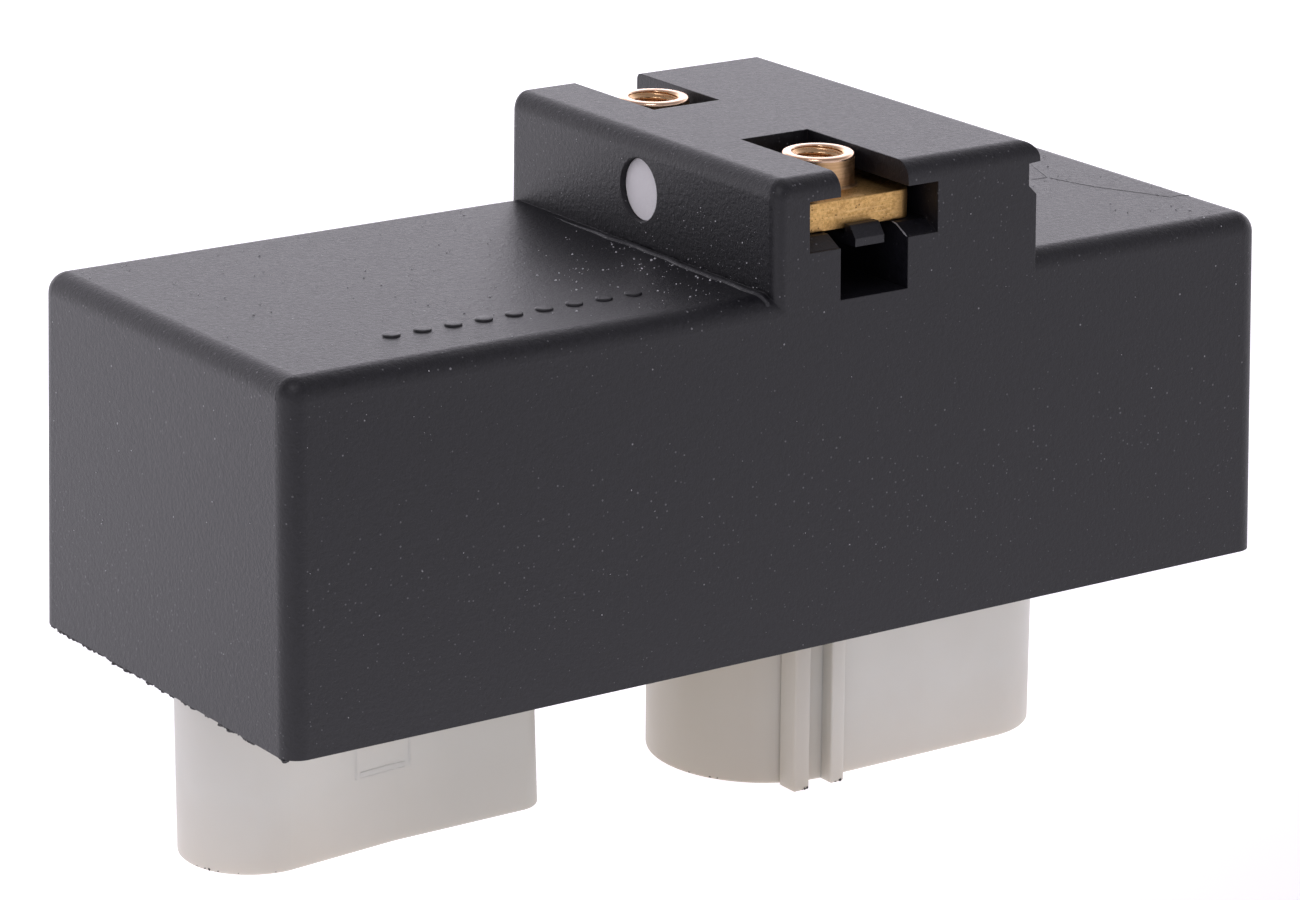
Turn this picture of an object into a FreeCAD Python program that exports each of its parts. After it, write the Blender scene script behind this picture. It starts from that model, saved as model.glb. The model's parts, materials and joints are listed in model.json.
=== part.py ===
import FreeCAD, Part
import math
import os
import Sketcher
from FreeCAD import Vector, Rotation

# Plug-in relay module with two connector headers below and a bolting boss on top.
# Frame: millimetres, +Z up, X along the module, Y from the front face to the back face.
# The origin is the middle of the footprint, at the level of the connector mouths.

os.makedirs("parts", exist_ok=True)
doc = FreeCAD.newDocument("relay_module")
sheet = doc.addObject("Spreadsheet::Sheet", "dims")
sheet_row = [0]


class Q:
    """A driving value: its number, and the sheet formula that gives it."""

    def __init__(self, v, e):
        self.v = float(v)
        self.e = e

    @staticmethod
    def of(o):
        return o if isinstance(o, Q) else Q(o, "(%.6f)" % float(o))

    def __add__(self, o):
        o = Q.of(o)
        return Q(self.v + o.v, "(%s + %s)" % (self.e, o.e))

    __radd__ = __add__

    def __neg__(self):
        return Q(-self.v, "((-1) * %s)" % self.e)

    def __sub__(self, o):
        o = Q.of(o)
        return Q(self.v - o.v, "(%s - %s)" % (self.e, o.e))

    def __rsub__(self, o):
        return Q.of(o) - self

    def __mul__(self, o):
        o = Q.of(o)
        return Q(self.v * o.v, "(%s * %s)" % (self.e, o.e))

    __rmul__ = __mul__

    def __truediv__(self, o):
        o = Q.of(o)
        return Q(self.v / o.v, "(%s / %s)" % (self.e, o.e))


def dim(alias, value, note=""):
    """One driving dimension: a numbered row of the sheet with its alias."""
    sheet_row[0] += 1
    cell = "B%d" % sheet_row[0]
    sheet.set("A%d" % sheet_row[0], alias)
    sheet.set(cell, "%g" % value)
    sheet.set("C%d" % sheet_row[0], note)
    sheet.setAlias(cell, alias)
    return Q(value, "dims." + alias)


def bind(obj, prop, q):
    q = Q.of(q)
    obj.setExpression(prop, q.e)


def at(obj, x, y, z):
    for name, q in (("x", x), ("y", y), ("z", z)):
        obj.setExpression(".Placement.Base." + name, Q.of(q).e)
    return obj


def block(name, x, y, z):
    """Box between two planes along each axis."""
    b = doc.addObject("Part::Box", name)
    bind(b, "Length", Q.of(x[1]) - x[0])
    bind(b, "Width", Q.of(y[1]) - y[0])
    bind(b, "Height", Q.of(z[1]) - z[0])
    return at(b, x[0], y[0], z[0])


AXES = {"z": Rotation(), "x": Rotation(Vector(0, 1, 0), 90), "y": Rotation(Vector(1, 0, 0), -90)}


def rod(name, r, x, y, z, h, axis="z"):
    """Cylinder that starts at x, y, z and runs h along an axis."""
    c = doc.addObject("Part::Cylinder", name)
    bind(c, "Radius", r)
    bind(c, "Height", h)
    c.Placement.Rotation = AXES[axis]
    return at(c, x, y, z)


def cone(name, low, high, x, y, z, h):
    c = doc.addObject("Part::Cone", name)
    bind(c, "Radius1", low)
    bind(c, "Radius2", high)
    bind(c, "Height", h)
    return at(c, x, y, z)


def fuse(name, shapes):
    f = doc.addObject("Part::MultiFuse", name)
    f.Shapes = shapes
    f.Refine = True
    return f


def cut(name, base, tools):
    tool = tools[0] if len(tools) == 1 else fuse(name + "_tools", tools)
    c = doc.addObject("Part::Cut", name)
    c.Base = base
    c.Tool = tool
    c.Refine = True
    return c


def group(name, shapes):
    """Identical separate solids kept in one node."""
    g = doc.addObject("Part::Compound", name)
    g.Links = shapes
    return g


def origin_plane(body, role):
    for f in body.Origin.OriginFeatures:
        if f.Role == role:
            return f


def outline(body, name, role, loops, lift=0):
    """Sketch of closed polygons, every corner held from the origin by sheet values."""
    s = body.newObject("Sketcher::SketchObject", name)
    s.AttachmentSupport = [(origin_plane(body, role), "")]
    s.MapMode = "FlatFace"
    s.setExpression(".AttachmentOffset.Base.z", Q.of(lift).e)
    for pts in loops:
        pts = [(Q.of(u), Q.of(v)) for u, v in pts]
        first = s.GeometryCount
        n = len(pts)
        for i in range(n):
            (u, v), (p, q) = pts[i], pts[(i + 1) % n]
            s.addGeometry(Part.LineSegment(Vector(u.v, v.v, 0), Vector(p.v, q.v, 0)), False)
        for i in range(n):
            s.addConstraint(Sketcher.Constraint("Coincident", first + i, 2, first + (i + 1) % n, 1))
        for i, (u, v) in enumerate(pts):
            for kind, q in (("DistanceX", u), ("DistanceY", v)):
                k = s.addConstraint(Sketcher.Constraint(kind, -1, 1, first + i, 1, q.v))
                s.renameConstraint(k, "%s%d" % (kind[-1], first + i))
                s.setExpression("Constraints.%s%d" % (kind[-1], first + i), q.e)
    return s


def round_edges(body, name, base, radius, wanted):
    """Fillet on the edges of base that the test picks."""
    doc.recompute()
    names = ["Edge%d" % (i + 1) for i, e in enumerate(base.Shape.Edges) if wanted(e)]
    if not names:
        raise RuntimeError("no edges for " + name)
    f = body.newObject("PartDesign::Fillet", name)
    f.Base = (base, names)
    bind(f, "Radius", radius)
    body.Tip = f
    doc.recompute()
    return f


def ends(e):
    return [v.Point for v in e.Vertexes]


def prism(name, pts, z, height, rounds=(), taper=None):
    """Upright pad of a polygon; rounds lists (radius, corner indices) for its upright edges."""
    b = doc.addObject("PartDesign::Body", name)
    s = outline(b, name + "_outline", "XY_Plane", [pts], z)
    p = b.newObject("PartDesign::Pad", name + "_pad")
    p.Profile = s
    bind(p, "Length", height)
    if taper is not None:
        bind(p, "TaperAngle", taper)
    b.Tip = p
    last = p
    z0 = Q.of(z).v
    for k, (radius, corners) in enumerate(rounds):
        spots = [Vector(Q.of(pts[i][0]).v, Q.of(pts[i][1]).v, z0) for i in corners]

        def upright(e):
            return len(e.Vertexes) == 2 and abs(ends(e)[0].z - ends(e)[1].z) > 0.5 and any(
                (p0 - q).Length < 0.02 for p0 in ends(e) for q in spots)

        last = round_edges(b, "%s_round%d" % (name, k), last, radius, upright)
    return b


def rect(x, y):
    return [(x[0], y[0]), (x[1], y[0]), (x[1], y[1]), (x[0], y[1])]


# ------------------------------------------------------------------ driving dimensions
length = dim("length", 110, "housing length at its rim")
width = dim("width", 46, "housing width at its rim")
rim = dim("rim_level", 18, "housing rim above the connector mouths")
box_high = dim("box_height", 34.07, "rim to the top of the box")
boss_high = dim("boss_height", 44.6, "rim to the top of the boss")
taper = dim("draft_angle", 1.09, "moulding draft")
slope = dim("draft_slope", 0.019026, "tangent of the draft")
wall = dim("wall", 2.0, "housing wall at the rim")
roof = dim("roof", 2.4, "housing roof")
corner = dim("corner_round", 2.0, "outer rounding of the box")
boss_round = dim("boss_round", 1.8, "rounding of the boss's front and left top edges")
right_round = dim("boss_right_round", 1.5, "rounding of its right top edge")
rear_round = dim("boss_rear_round", 0.6, "rounding of its rear top edge")
side_round = dim("boss_side_round", 1.2, "rounding of its left upright edges")
boss_left = dim("boss_left", -3.25, "boss's left face")
boss_right = dim("boss_right", 26.6, "boss's right face")
lip_right = dim("lip_right", 27.0, "boss's right lip")
neck_right = dim("undercut_right", 25.7, "boss's right face in the undercut")

nut_x = dim("nut_centre_x", 7.85, "thread axis")
nut_front_y = dim("nut_front_y", -13.3)
nut_rear_y = dim("nut_rear_y", 13.6)
slot_left = dim("slot_left", 3.97)
slot_right = dim("slot_right", 11.66)
slot_front = dim("front_slot_end", -6.4, "inner end of the front slot")
slot_rear = dim("rear_slot_end", 8.0, "inner end of the rear slot")
pocket_left = dim("pocket_left", 0.5)
pocket_right = dim("pocket_right", 15.07)
pocket_floor = dim("pocket_floor", 55.62)
pocket_roof = dim("pocket_ceiling", 60.4)
pocket_front = dim("front_pocket_end", -5.0, "inner end of the front pocket")
pocket_rear = dim("rear_pocket_end", 5.4, "inner end of the rear pocket")
window_left = dim("window_left", 3.97)
window_right = dim("window_right", 11.65)
window_sill = dim("window_sill", 50.75)
window_front = dim("front_window_end", -10.4, "inner end of the front window")
window_rear = dim("rear_window_end", 10.7, "inner end of the rear window")
vent_y = dim("vent_y", -0.13)
vent_z = dim("vent_level", 57.42)
vent_r = dim("vent_radius", 3.05)

plate_low = dim("plate_low", 19.0, "lower face of the base plate")
plate_thick = dim("plate_thickness", 2.2)
flange_thick = dim("header_flange", 2.0)
board_low = dim("board_low", 25.0)
board_thick = dim("board_thickness", 1.6)
shroud = dim("shroud_wall", 1.6)
mouth = dim("mouth_level", 0.0)
gap = dim("fit_gap", 0.15)
tip_z = dim("blade_tip", 5.5)
blade_top = dim("blade_top", 27.2)
blade_thick = dim("blade_thickness", 0.8)
wide = dim("wide_blade", 6.3)
narrow = dim("narrow_blade", 2.8)

nodes = {}


def keep(obj, label):
    obj.Label = label
    nodes[label] = obj
    return obj


box_top = rim + box_high
boss_top = rim + boss_high
half_x = length / 2
half_y = width / 2
big = dim("overrun", 4.0, "how far a cutting shape runs past a face")

# ------------------------------------------------------------------ housing
# The box: a drafted pad, every outer edge but the rim rounded.
shell = doc.addObject("PartDesign::Body", "housing_box")
shell_sk = outline(shell, "housing_box_outline", "XY_Plane", [rect((-half_x, half_x), (-half_y, half_y))], rim)
shell_pad = shell.newObject("PartDesign::Pad", "housing_box_pad")
shell_pad.Profile = shell_sk
bind(shell_pad, "Length", box_high)
bind(shell_pad, "TaperAngle", -taper)
shell.Tip = shell_pad
round_edges(shell, "housing_box_round", shell_pad, corner,
            lambda e: max(p.z for p in ends(e)) > box_top.v - 0.01)

# The boss: its side profile padded across the width, front and back faces drafted like the box's.
boss = doc.addObject("PartDesign::Body", "boss_block")
boss_foot = dim("boss_foot", 46.0, "level where the boss's block starts inside the box")
boss_sk = outline(boss, "boss_profile", "XZ_Plane", [[
    (boss_left, boss_foot), (boss_right, boss_foot), (boss_right, boss_top - 4.96), (neck_right, boss_top - 4.06),
    (neck_right, boss_top - 1.96), (lip_right, boss_top - 1.86), (lip_right, boss_top), (boss_left, boss_top)]])
boss_pad = boss.newObject("PartDesign::Pad", "boss_pad")
boss_pad.Profile = boss_sk
boss_pad.SideType = "Symmetric"
bind(boss_pad, "Length", width)
boss.Tip = boss_pad


def face_y(z):
    """Half width of the drafted shell at a level."""
    return half_y - slope * (Q.of(z) - rim)


wedge_sk = outline(boss, "boss_draft", "YZ_Plane", [
    [(-half_y - big, boss_foot - 1), (-face_y(boss_foot - 1), boss_foot - 1), (-face_y(boss_top + 1), boss_top + 1),
     (-half_y - big, boss_top + 1)],
    [(half_y + big, boss_foot - 1), (half_y + big, boss_top + 1), (face_y(boss_top + 1), boss_top + 1),
     (face_y(boss_foot - 1), boss_foot - 1)]])
wedge = boss.newObject("PartDesign::Pocket", "boss_draft_cut")
wedge.Profile = wedge_sk
wedge.SideType = "Symmetric"
bind(wedge, "Length", length)
boss.Tip = wedge
doc.recompute()
if not boss.Shape.Volume < boss_pad.Shape.Volume - 1:
    raise RuntimeError("the boss's draft cut nothing")


def top_edge(e):
    return len(e.Vertexes) == 2 and min(p.z for p in ends(e)) > boss_top.v - 0.01


def middle(e):
    return (ends(e)[0] + ends(e)[1]) * 0.5


# Each top edge has its own rounding, and so have the left face's upright edges. All are rounded together so that
# they blend at the corners.
boss_rounds = doc.addObject("Part::Fillet", "boss_rounds")
boss_rounds.Base = boss
picked = []
for k, e in enumerate(boss.Shape.Edges):
    if top_edge(e):
        m = middle(e)
        r = boss_round if m.y < -15 or m.x < boss_left.v + 0.1 else rear_round if m.y > 15 else right_round
        picked.append((k + 1, r.v, r.v))
    elif len(e.Vertexes) == 2 and all(abs(p.x - boss_left.v) < 0.01 for p in ends(e)) and abs(
            ends(e)[0].z - ends(e)[1].z) > 5:
        picked.append((k + 1, side_round.v, side_round.v))
if len(picked) != 6:
    raise RuntimeError("the boss has %d edges to round" % len(picked))
boss_rounds.Edges = picked
doc.recompute()
if not boss_rounds.Shape.isValid() or boss_rounds.Shape.BoundBox.XMax > lip_right.v + 0.05:
    raise RuntimeError("the boss's rounding failed")

outer = fuse("housing_outer", [shell, boss_rounds])

# The hollow: an open core from the rim up, and cores under the boss.
core = prism("housing_core", rect((-half_x + wall - slope, half_x - wall + slope),
                                  (-half_y + wall - slope, half_y - wall + slope)),
             rim - 1, box_high - roof + 1, [(1.0, (0, 1, 2, 3))], -taper)
boss_wall = dim("boss_wall", 2.2)
core_wall = dim("core_wall", 1.7, "between the vent's core and the pockets")
vent_core = block("vent_core", (boss_left + boss_wall, neck_right - 1.7), (pocket_front + core_wall, pocket_rear - core_wall),
                  (box_top - roof - 3, boss_top - 2.45))
side_core = block("side_core", (pocket_right + boss_wall, neck_right - 1.7), (-half_y + 3.0, half_y - 3.0),
                  (box_top - roof - 3, boss_top - 2.45))
front_pocket = block("front_pocket", (pocket_left, pocket_right), (-half_y - big, pocket_front),
                     (pocket_floor, pocket_roof))
front_slot = block("front_slot", (slot_left, slot_right), (-half_y - big, slot_front), (pocket_roof - 0.5, boss_top + big))
front_window = block("front_window", (window_left, window_right), (-half_y - big, window_front),
                     (window_sill, pocket_floor + 0.5))
rear_pocket = block("rear_pocket", (pocket_left, pocket_right), (pocket_rear, half_y + big), (pocket_floor, pocket_roof))
rear_slot = block("rear_slot", (slot_left, slot_right), (slot_rear, half_y + big), (pocket_roof - 0.5, boss_top + big))
rear_window = block("rear_window", (window_left, window_right), (window_rear, half_y + big),
                    (window_sill, pocket_floor + 0.5))
vent_hole = rod("vent_hole", vent_r, boss_left - 1, vent_y, vent_z, boss_wall + 2, "x")
hollow = cut("housing_hollow", outer, [core, vent_core, side_core, front_pocket, front_slot, front_window,
                                       rear_pocket, rear_slot, rear_window, vent_hole])
# Raised strips on the pocket floors carry the nuts' flanges above the snap tongues. Each has a lead-in ramp.
rail_top = dim("rail_top", 56.55)
rail_step = dim("rail_lead_low", 55.65, "strip's height at the start of its ramp")
rail_start = dim("rail_start", 22.0, "ramp's outer end from the middle")
rail_flat = dim("rail_flat", 20.3, "ramp's inner end from the middle")


def rail(name, x, way, inner):
    """Strip from the ramp at the slot's mouth to the inner end; way is -1 at the front."""
    b = doc.addObject("PartDesign::Body", name)
    s = outline(b, name + "_profile", "YZ_Plane", [[
        (way * rail_start, pocket_floor - 0.3), (way * rail_start, rail_step), (way * rail_flat, rail_top),
        (inner, rail_top), (inner, pocket_floor - 0.3)]], x[0])
    p = b.newObject("PartDesign::Pad", name + "_pad")
    p.Profile = s
    bind(p, "Length", Q.of(x[1]) - x[0])
    b.Tip = p
    doc.recompute()
    low = min(v.Point.x for v in p.Shape.Vertexes)
    if abs(low - Q.of(x[0]).v) > 0.01:
        raise RuntimeError("the strip is on the wrong side")
    return b


rails = []
for tag, way, inner in (("front", -1, pocket_front + 0.2), ("rear", 1, pocket_rear - 0.2)):
    rails.append(rail("rail_%s_left" % tag, (pocket_left - 0.3, window_left), way, inner))
    rails.append(rail("rail_%s_right" % tag, (window_right, pocket_right + 0.3), way, inner))
housing = keep(fuse("housing_shell", [hollow] + rails), "housing")

# ------------------------------------------------------------------ vent membrane
membrane = rod("membrane_disc", vent_r - 0.06, boss_left + 0.6, vent_y, vent_z, dim("membrane_thickness", 0.5), "x")
keep(membrane, "vent_membrane")

# ------------------------------------------------------------------ T-nuts
flange_low = dim("nut_flange_low", 56.6)
flange_top = dim("nut_flange_top", 59.4)
neck_top = dim("nut_top", 62.42)
neck_r = dim("nut_neck_radius", 3.4)
bore_r = dim("thread_minor_radius", 2.1, "M5 thread's inner wall")
mouth_r = dim("thread_mouth_radius", 2.5)
flange_half = dim("nut_flange_half", 6.3, "half the side of the square flange")
flange_round = dim("nut_flange_round", 1.3)


def tee_nut(label, cy):
    """Nut with a square flange below a round neck, threaded right through."""
    flange = prism(label + "_flange", rect((nut_x - flange_half, nut_x + flange_half),
                                           (cy - flange_half, cy + flange_half)), flange_low, flange_top - flange_low,
                   [(flange_round, (0, 1, 2, 3))])
    foot = cone(label + "_foot", neck_r + 0.3, neck_r, nut_x, cy, flange_top, 0.3)
    neck = rod(label + "_neck", neck_r, nut_x, cy, flange_top - 0.5, neck_top - flange_top + 0.5 - 0.3)
    rim_cone = cone(label + "_rim", neck_r, neck_r - 0.3, nut_x, cy, neck_top - 0.3, 0.3)
    bore = rod(label + "_bore", bore_r, nut_x, cy, flange_low - 1, neck_top - flange_low + 2)
    lead = cone(label + "_lead", bore_r, mouth_r, nut_x, cy, neck_top - 0.4, 0.4)
    lead2 = cone(label + "_lead_low", mouth_r, bore_r, nut_x, cy, flange_low, 0.4)
    solid = cut(label + "_solid", fuse(label + "_blank", [flange, foot, neck, rim_cone]), [bore, lead, lead2])
    return keep(solid, label)


tee_nut("nut_front", nut_front_y)
tee_nut("nut_rear", nut_rear_y)

# ------------------------------------------------------------------ snap tongues
tongue_x0 = dim("tongue_left", 6.2)
tongue_x1 = dim("tongue_right", 9.5)
tongue_low = dim("tongue_low", 55.25)
tongue_top = dim("tongue_top", 56.1)
barb_top = dim("barb_top", 57.1)
tongue_root = dim("tongue_root_gap", 0.15)


def tongue(label, cy, root, way):
    """Cantilever tongue; way is -1 for one whose tip points to the front. Its barb stands just outside the flange."""
    edge = cy + way * flange_half
    pts = [(root + way * tongue_root, tongue_low), (edge + way * 1.9, tongue_low),
           (edge + way * 1.9, tongue_low + 0.75), (edge + way * 1.15, barb_top - 0.15), (edge + way * 0.95, barb_top),
           (edge + way * 0.2, barb_top), (edge + way * 0.2, tongue_top), (root + way * tongue_root, tongue_top)]
    b = doc.addObject("PartDesign::Body", label + "_body")
    s = outline(b, label + "_profile", "YZ_Plane", [pts], tongue_x0)
    p = b.newObject("PartDesign::Pad", label + "_pad")
    p.Profile = s
    bind(p, "Length", tongue_x1 - tongue_x0)
    b.Tip = p
    doc.recompute()
    low = min(v.Point.x for v in p.Shape.Vertexes)
    if abs(low - tongue_x0.v) > 0.01:
        raise RuntimeError("the tongue is on the wrong side")
    return keep(b, label)


tongue("nut_latch_front", nut_front_y, window_front, -1)
tongue("nut_latch_rear", nut_rear_y, window_rear, 1)

# ------------------------------------------------------------------ connector headers
p_x0 = dim("power_left", -51.9)
p_x1 = dim("power_right", -16.2)
p_y0 = dim("power_front_wide", -5.6)
p_y1 = dim("power_back_wide", 8.4)
p_y2 = dim("power_front", -4.5)
p_y3 = dim("power_back", 7.3)
p_a = dim("power_round_end", -44.9)
p_b = dim("power_taper_end", -33.0)
p_r = dim("power_end_radius", 6.98)
p_s = dim("power_corner", 3.5)
c_x0 = dim("control_left", -0.7)
c_x1 = dim("control_right", 39.0)
c_y0 = dim("control_front", -13.0)
c_y1 = dim("control_back", 9.6)
c_r = dim("control_end_radius", 11.2)
c_s = dim("control_corner", 8.0)


def power_outline(d):
    """The power shroud's outline, moved inwards by d (outwards when negative)."""
    return [(p_x0 + d, p_y0 + d), (p_a, p_y0 + d), (p_b, p_y2 + d), (p_x1 - d, p_y2 + d), (p_x1 - d, p_y3 - d),
            (p_b, p_y3 - d), (p_a, p_y1 - d), (p_x0 + d, p_y1 - d)]


def control_outline(d):
    return rect((c_x0 + d, c_x1 - d), (c_y0 + d, c_y1 - d))


header_top = plate_low + plate_thick + flange_thick
plate_top = plate_low + plate_thick


def blade_slots(tag, spots, w):
    out = []
    for i, (x, y) in enumerate(spots):
        out.append(block("%s_slot%d" % (tag, i), (Q.of(x) - blade_thick / 2 - 0.05, Q.of(x) + blade_thick / 2 + 0.05),
                         (Q.of(y) - w / 2 - 0.05, Q.of(y) + w / 2 + 0.05), (rim - 2, blade_top + 1)))
    return out


power_row = [(-46.0, 1.4), (-38.0, 1.4), (-30.0, 1.4), (-22.0, 1.4)]
wide_row = [(5.2, -1.7), (10.6, -6.6), (10.6, 3.2), (34.2, -1.7)]
narrow_row = [(x, y) for y in (-6.6, 3.2) for x in (15.4, 19.2, 23.0, 26.8, 30.6)]

power_tube = prism("power_tube", power_outline(0), mouth, plate_top + 0.5 - mouth,
                   [(p_r, (0, 7)), (p_s, (3, 4))])
power_hole = prism("power_cavity", power_outline(shroud), mouth - 1, rim - mouth + 1,
                   [(p_r - shroud, (0, 7)), (p_s - shroud, (3, 4))])
power_flange = prism("power_flange", rect((-52.7, p_x1 + 1.6), (p_y0 - 1.7, p_y1 + 1.7)), plate_top, flange_thick,
                     [(0.8, (0, 1, 2, 3))])
# A shallow frame with a deeper window on the power shroud's front face, under the rim.
frame_cut = block("frame_recess", (-37.75, -31.2), (p_y0 - 1, p_y2 + 0.06), (7.2, 18.6))
window_cut = block("window_recess", (-36.5, -32.4), (p_y0 - 1, p_y2 + 0.22), (7.9, 18.6))
key_bar = block("power_key", (p_x1 - shroud - 0.9, p_x1 - shroud + 0.3), (p_y2 + 4.9, p_y2 + 6.9), (1.5, rim + 0.5))
power_body = fuse("power_header_body", [cut("power_header_tube", power_tube, [power_hole, frame_cut, window_cut]),
                                        power_flange, key_bar])
keep(cut("power_header_solid", power_body, blade_slots("power", power_row, wide)), "power_header")

control_tube = prism("control_tube", control_outline(0), mouth, plate_top + 0.5 - mouth,
                     [(c_r, (0, 3)), (c_s, (1, 2))])
control_hole = prism("control_cavity", control_outline(shroud), mouth - 1, rim - mouth + 1,
                     [(c_r - shroud, (0, 3)), (c_s - shroud, (1, 2))])
control_flange = prism("control_flange", rect((c_x0 - 1.5, c_x1 + 1.5), (c_y0 - 1.5, c_y1 + 1.5)), plate_top,
                       flange_thick, [(2.0, (0, 1, 2, 3))])
rib_a = block("guide_rib_a", (5.3, 7.1), (c_y0 - 1.6, c_y0 + 0.6), (mouth, plate_low - 0.1))
rib_b = block("guide_rib_b", (9.65, 11.2), (c_y0 - 1.6, c_y0 + 0.6), (mouth, plate_low - 0.1))
key_a = block("control_key_a", (c_x1 - shroud - 0.9, c_x1 - shroud + 0.3), (-5.2, -3.6), (1.5, rim + 0.5))
key_b = block("control_key_b", (c_x1 - shroud - 0.9, c_x1 - shroud + 0.3), (0.2, 1.8), (1.5, rim + 0.5))
control_body = fuse("control_header_body", [cut("control_header_tube", control_tube, [control_hole]), control_flange,
                                            rib_a, rib_b, key_a, key_b])
keep(cut("control_header_solid", control_body,
         blade_slots("control_wide", wide_row, wide) + blade_slots("control_narrow", narrow_row, narrow)),
     "control_header")

# ------------------------------------------------------------------ base plate and its sealant
plate_x = half_x - wall - 0.2
plate_y = half_y - wall - 0.2
plate = prism("plate_blank", rect((-plate_x, plate_x), (-plate_y, plate_y)), plate_low, plate_thick,
              [(0.9, (0, 1, 2, 3))])
power_gate = prism("power_gate", power_outline(-gap), plate_low - 1, plate_thick + 2,
                   [(p_r + gap, (0, 7)), (p_s + gap, (3, 4))])
control_gate = prism("control_gate", control_outline(-gap), plate_low - 1, plate_thick + 2,
                     [(c_r + gap, (0, 3)), (c_s + gap, (1, 2))])
posts = [rod("board_post%d" % i, 1.8, x, y, plate_top - 0.5, board_low - plate_top + 0.5)
         for i, (x, y) in enumerate(((-48.5, -17.0), (-48.5, 17.0), (48.5, -17.0), (48.5, 17.0), (-8.0, -17.0),
                                     (-8.0, 17.0)))]
keep(fuse("plate_solid", [cut("plate_cut", plate, [power_gate, control_gate])] + posts), "base_plate")

seal_w = dim("seal_width", 0.85)
seal_low = dim("seal_low", 18.25)
seal_out = prism("seal_outer", rect((-plate_x, plate_x), (-plate_y, plate_y)), seal_low, plate_low - seal_low,
                 [(0.9, (0, 1, 2, 3))])
seal_in = prism("seal_inner", rect((-plate_x + seal_w, plate_x - seal_w), (-plate_y + seal_w, plate_y - seal_w)),
                seal_low - 1, plate_low - seal_low + 2)
keep(cut("seal_ring", seal_out, [seal_in]), "perimeter_sealant")

# ------------------------------------------------------------------ connector blades
tip_len = dim("blade_tip_length", 1.2)


def blades(label, spots, w):
    """Flat blades across the header, each with a pointed lead-in at its lower end."""
    out = []
    for i, (x, y) in enumerate(spots):
        x, y = Q.of(x), Q.of(y)
        b = doc.addObject("PartDesign::Body", "%s_%d" % (label, i + 1))
        s = outline(b, "%s_%d_face" % (label, i + 1), "YZ_Plane", [[
            (y - w / 2, blade_top), (y - w / 2, tip_z + tip_len), (y - w / 2 + 0.7, tip_z), (y + w / 2 - 0.7, tip_z),
            (y + w / 2, tip_z + tip_len), (y + w / 2, blade_top)]], x)
        p = b.newObject("PartDesign::Pad", "%s_%d_pad" % (label, i + 1))
        p.Profile = s
        p.SideType = "Symmetric"
        bind(p, "Length", blade_thick)
        b.Tip = p
        doc.recompute()
        c = b.newObject("PartDesign::Chamfer", "%s_%d_lead" % (label, i + 1))
        c.Base = (p, ["Edge%d" % (k + 1) for k, e in enumerate(p.Shape.Edges)
                      if all(abs(q.z - tip_z.v) < 0.01 for q in ends(e)) and abs(ends(e)[0].y - ends(e)[1].y) > 0.5])
        bind(c, "Size", blade_thick * 0.32)
        b.Tip = c
        out.append(b)
    return keep(group(label + "_set", out), label)


blades("power_blades", power_row, wide)
blades("control_wide_blades", wide_row, wide)
blades("control_narrow_blades", narrow_row, narrow)

# ------------------------------------------------------------------ circuit board and what is on it
board_top = board_low + board_thick
board = prism("board_blank", rect((-51.5, 51.5), (-19.4, 19.4)), board_low, board_thick, [(1.5, (0, 1, 2, 3))])
keep(cut("board_solid", board, blade_slots("board_power", power_row, wide)
         + blade_slots("board_wide", wide_row, wide) + blade_slots("board_narrow", narrow_row, narrow)),
     "circuit_board")

on = board_top + 0.02
supply = fuse("supply_bar", [block("supply_strip", (-47.0, -20.0), (-4.9, -2.4), (on, on + 1.0)),
                             block("supply_lug", (-21.2, -20.0), (-4.9, -2.4), (on, on + 8.0))])
keep(supply, "supply_busbar")
output = fuse("output_bar", [block("output_strip", (39.5, 43.0), (-12.0, 12.0), (on, on + 1.0)),
                             block("output_lug", (39.5, 40.5), (-12.0, -8.5), (on, on + 9.0))])
keep(output, "output_busbar")
shunt = fuse("shunt_bar", [block("shunt_foot_a", (44.6, 47.0), (-7.0, -3.6), (on, on + 0.8)),
                           block("shunt_foot_b", (44.6, 47.0), (3.6, 7.0), (on, on + 0.8)),
                           block("shunt_leg_a", (44.6, 47.0), (-4.4, -3.6), (on, on + 4.0)),
                           block("shunt_leg_b", (44.6, 47.0), (3.6, 4.4), (on, on + 4.0)),
                           block("shunt_bridge", (44.6, 47.0), (-4.4, 4.4), (on + 3.2, on + 4.0))])
keep(shunt, "current_shunt")

cap_r = dim("capacitor_radius", 4.0)
cap_h = dim("capacitor_height", 11.5)
caps = []
for i, x in enumerate((-42.0, -31.5)):
    can = rod("can%d" % i, cap_r, x, -14.0, on + 1.0, cap_h - 1.0)
    foot = block("can_foot%d" % i, (x - 4.1, x + 4.1), (-18.1, -9.9), (on, on + 1.0))
    caps.append(fuse("smoothing_capacitor%d" % i, [can, foot]))
keep(group("capacitor_pair", caps), "smoothing_capacitors")


def chip(name, x, y, a, b, high, legs, pitch, along="y"):
    """Moulded package with flat legs on two opposite sides."""
    body = block(name + "_body", (x - a / 2, x + a / 2), (y - b / 2, y + b / 2), (on + 0.15, on + high))
    out = [body]
    for side in (-1, 1):
        for k in range(legs):
            s = (k - (legs - 1) / 2.0) * pitch
            if along == "y":
                lo, hi = sorted((y + side * (b / 2 - 0.2), y + side * (b / 2 + 1.0)))
                out.append(block("%s_leg%d_%d" % (name, k, side + 1), (x + s - 0.18, x + s + 0.18), (lo, hi),
                                 (on, on + 0.3)))
            else:
                lo, hi = sorted((x + side * (a / 2 - 0.2), x + side * (a / 2 + 1.0)))
                out.append(block("%s_leg%d_%d" % (name, k, side + 1), (lo, hi), (y + s - 0.18, y + s + 0.18),
                                 (on, on + 0.3)))
    return fuse(name, out)


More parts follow.
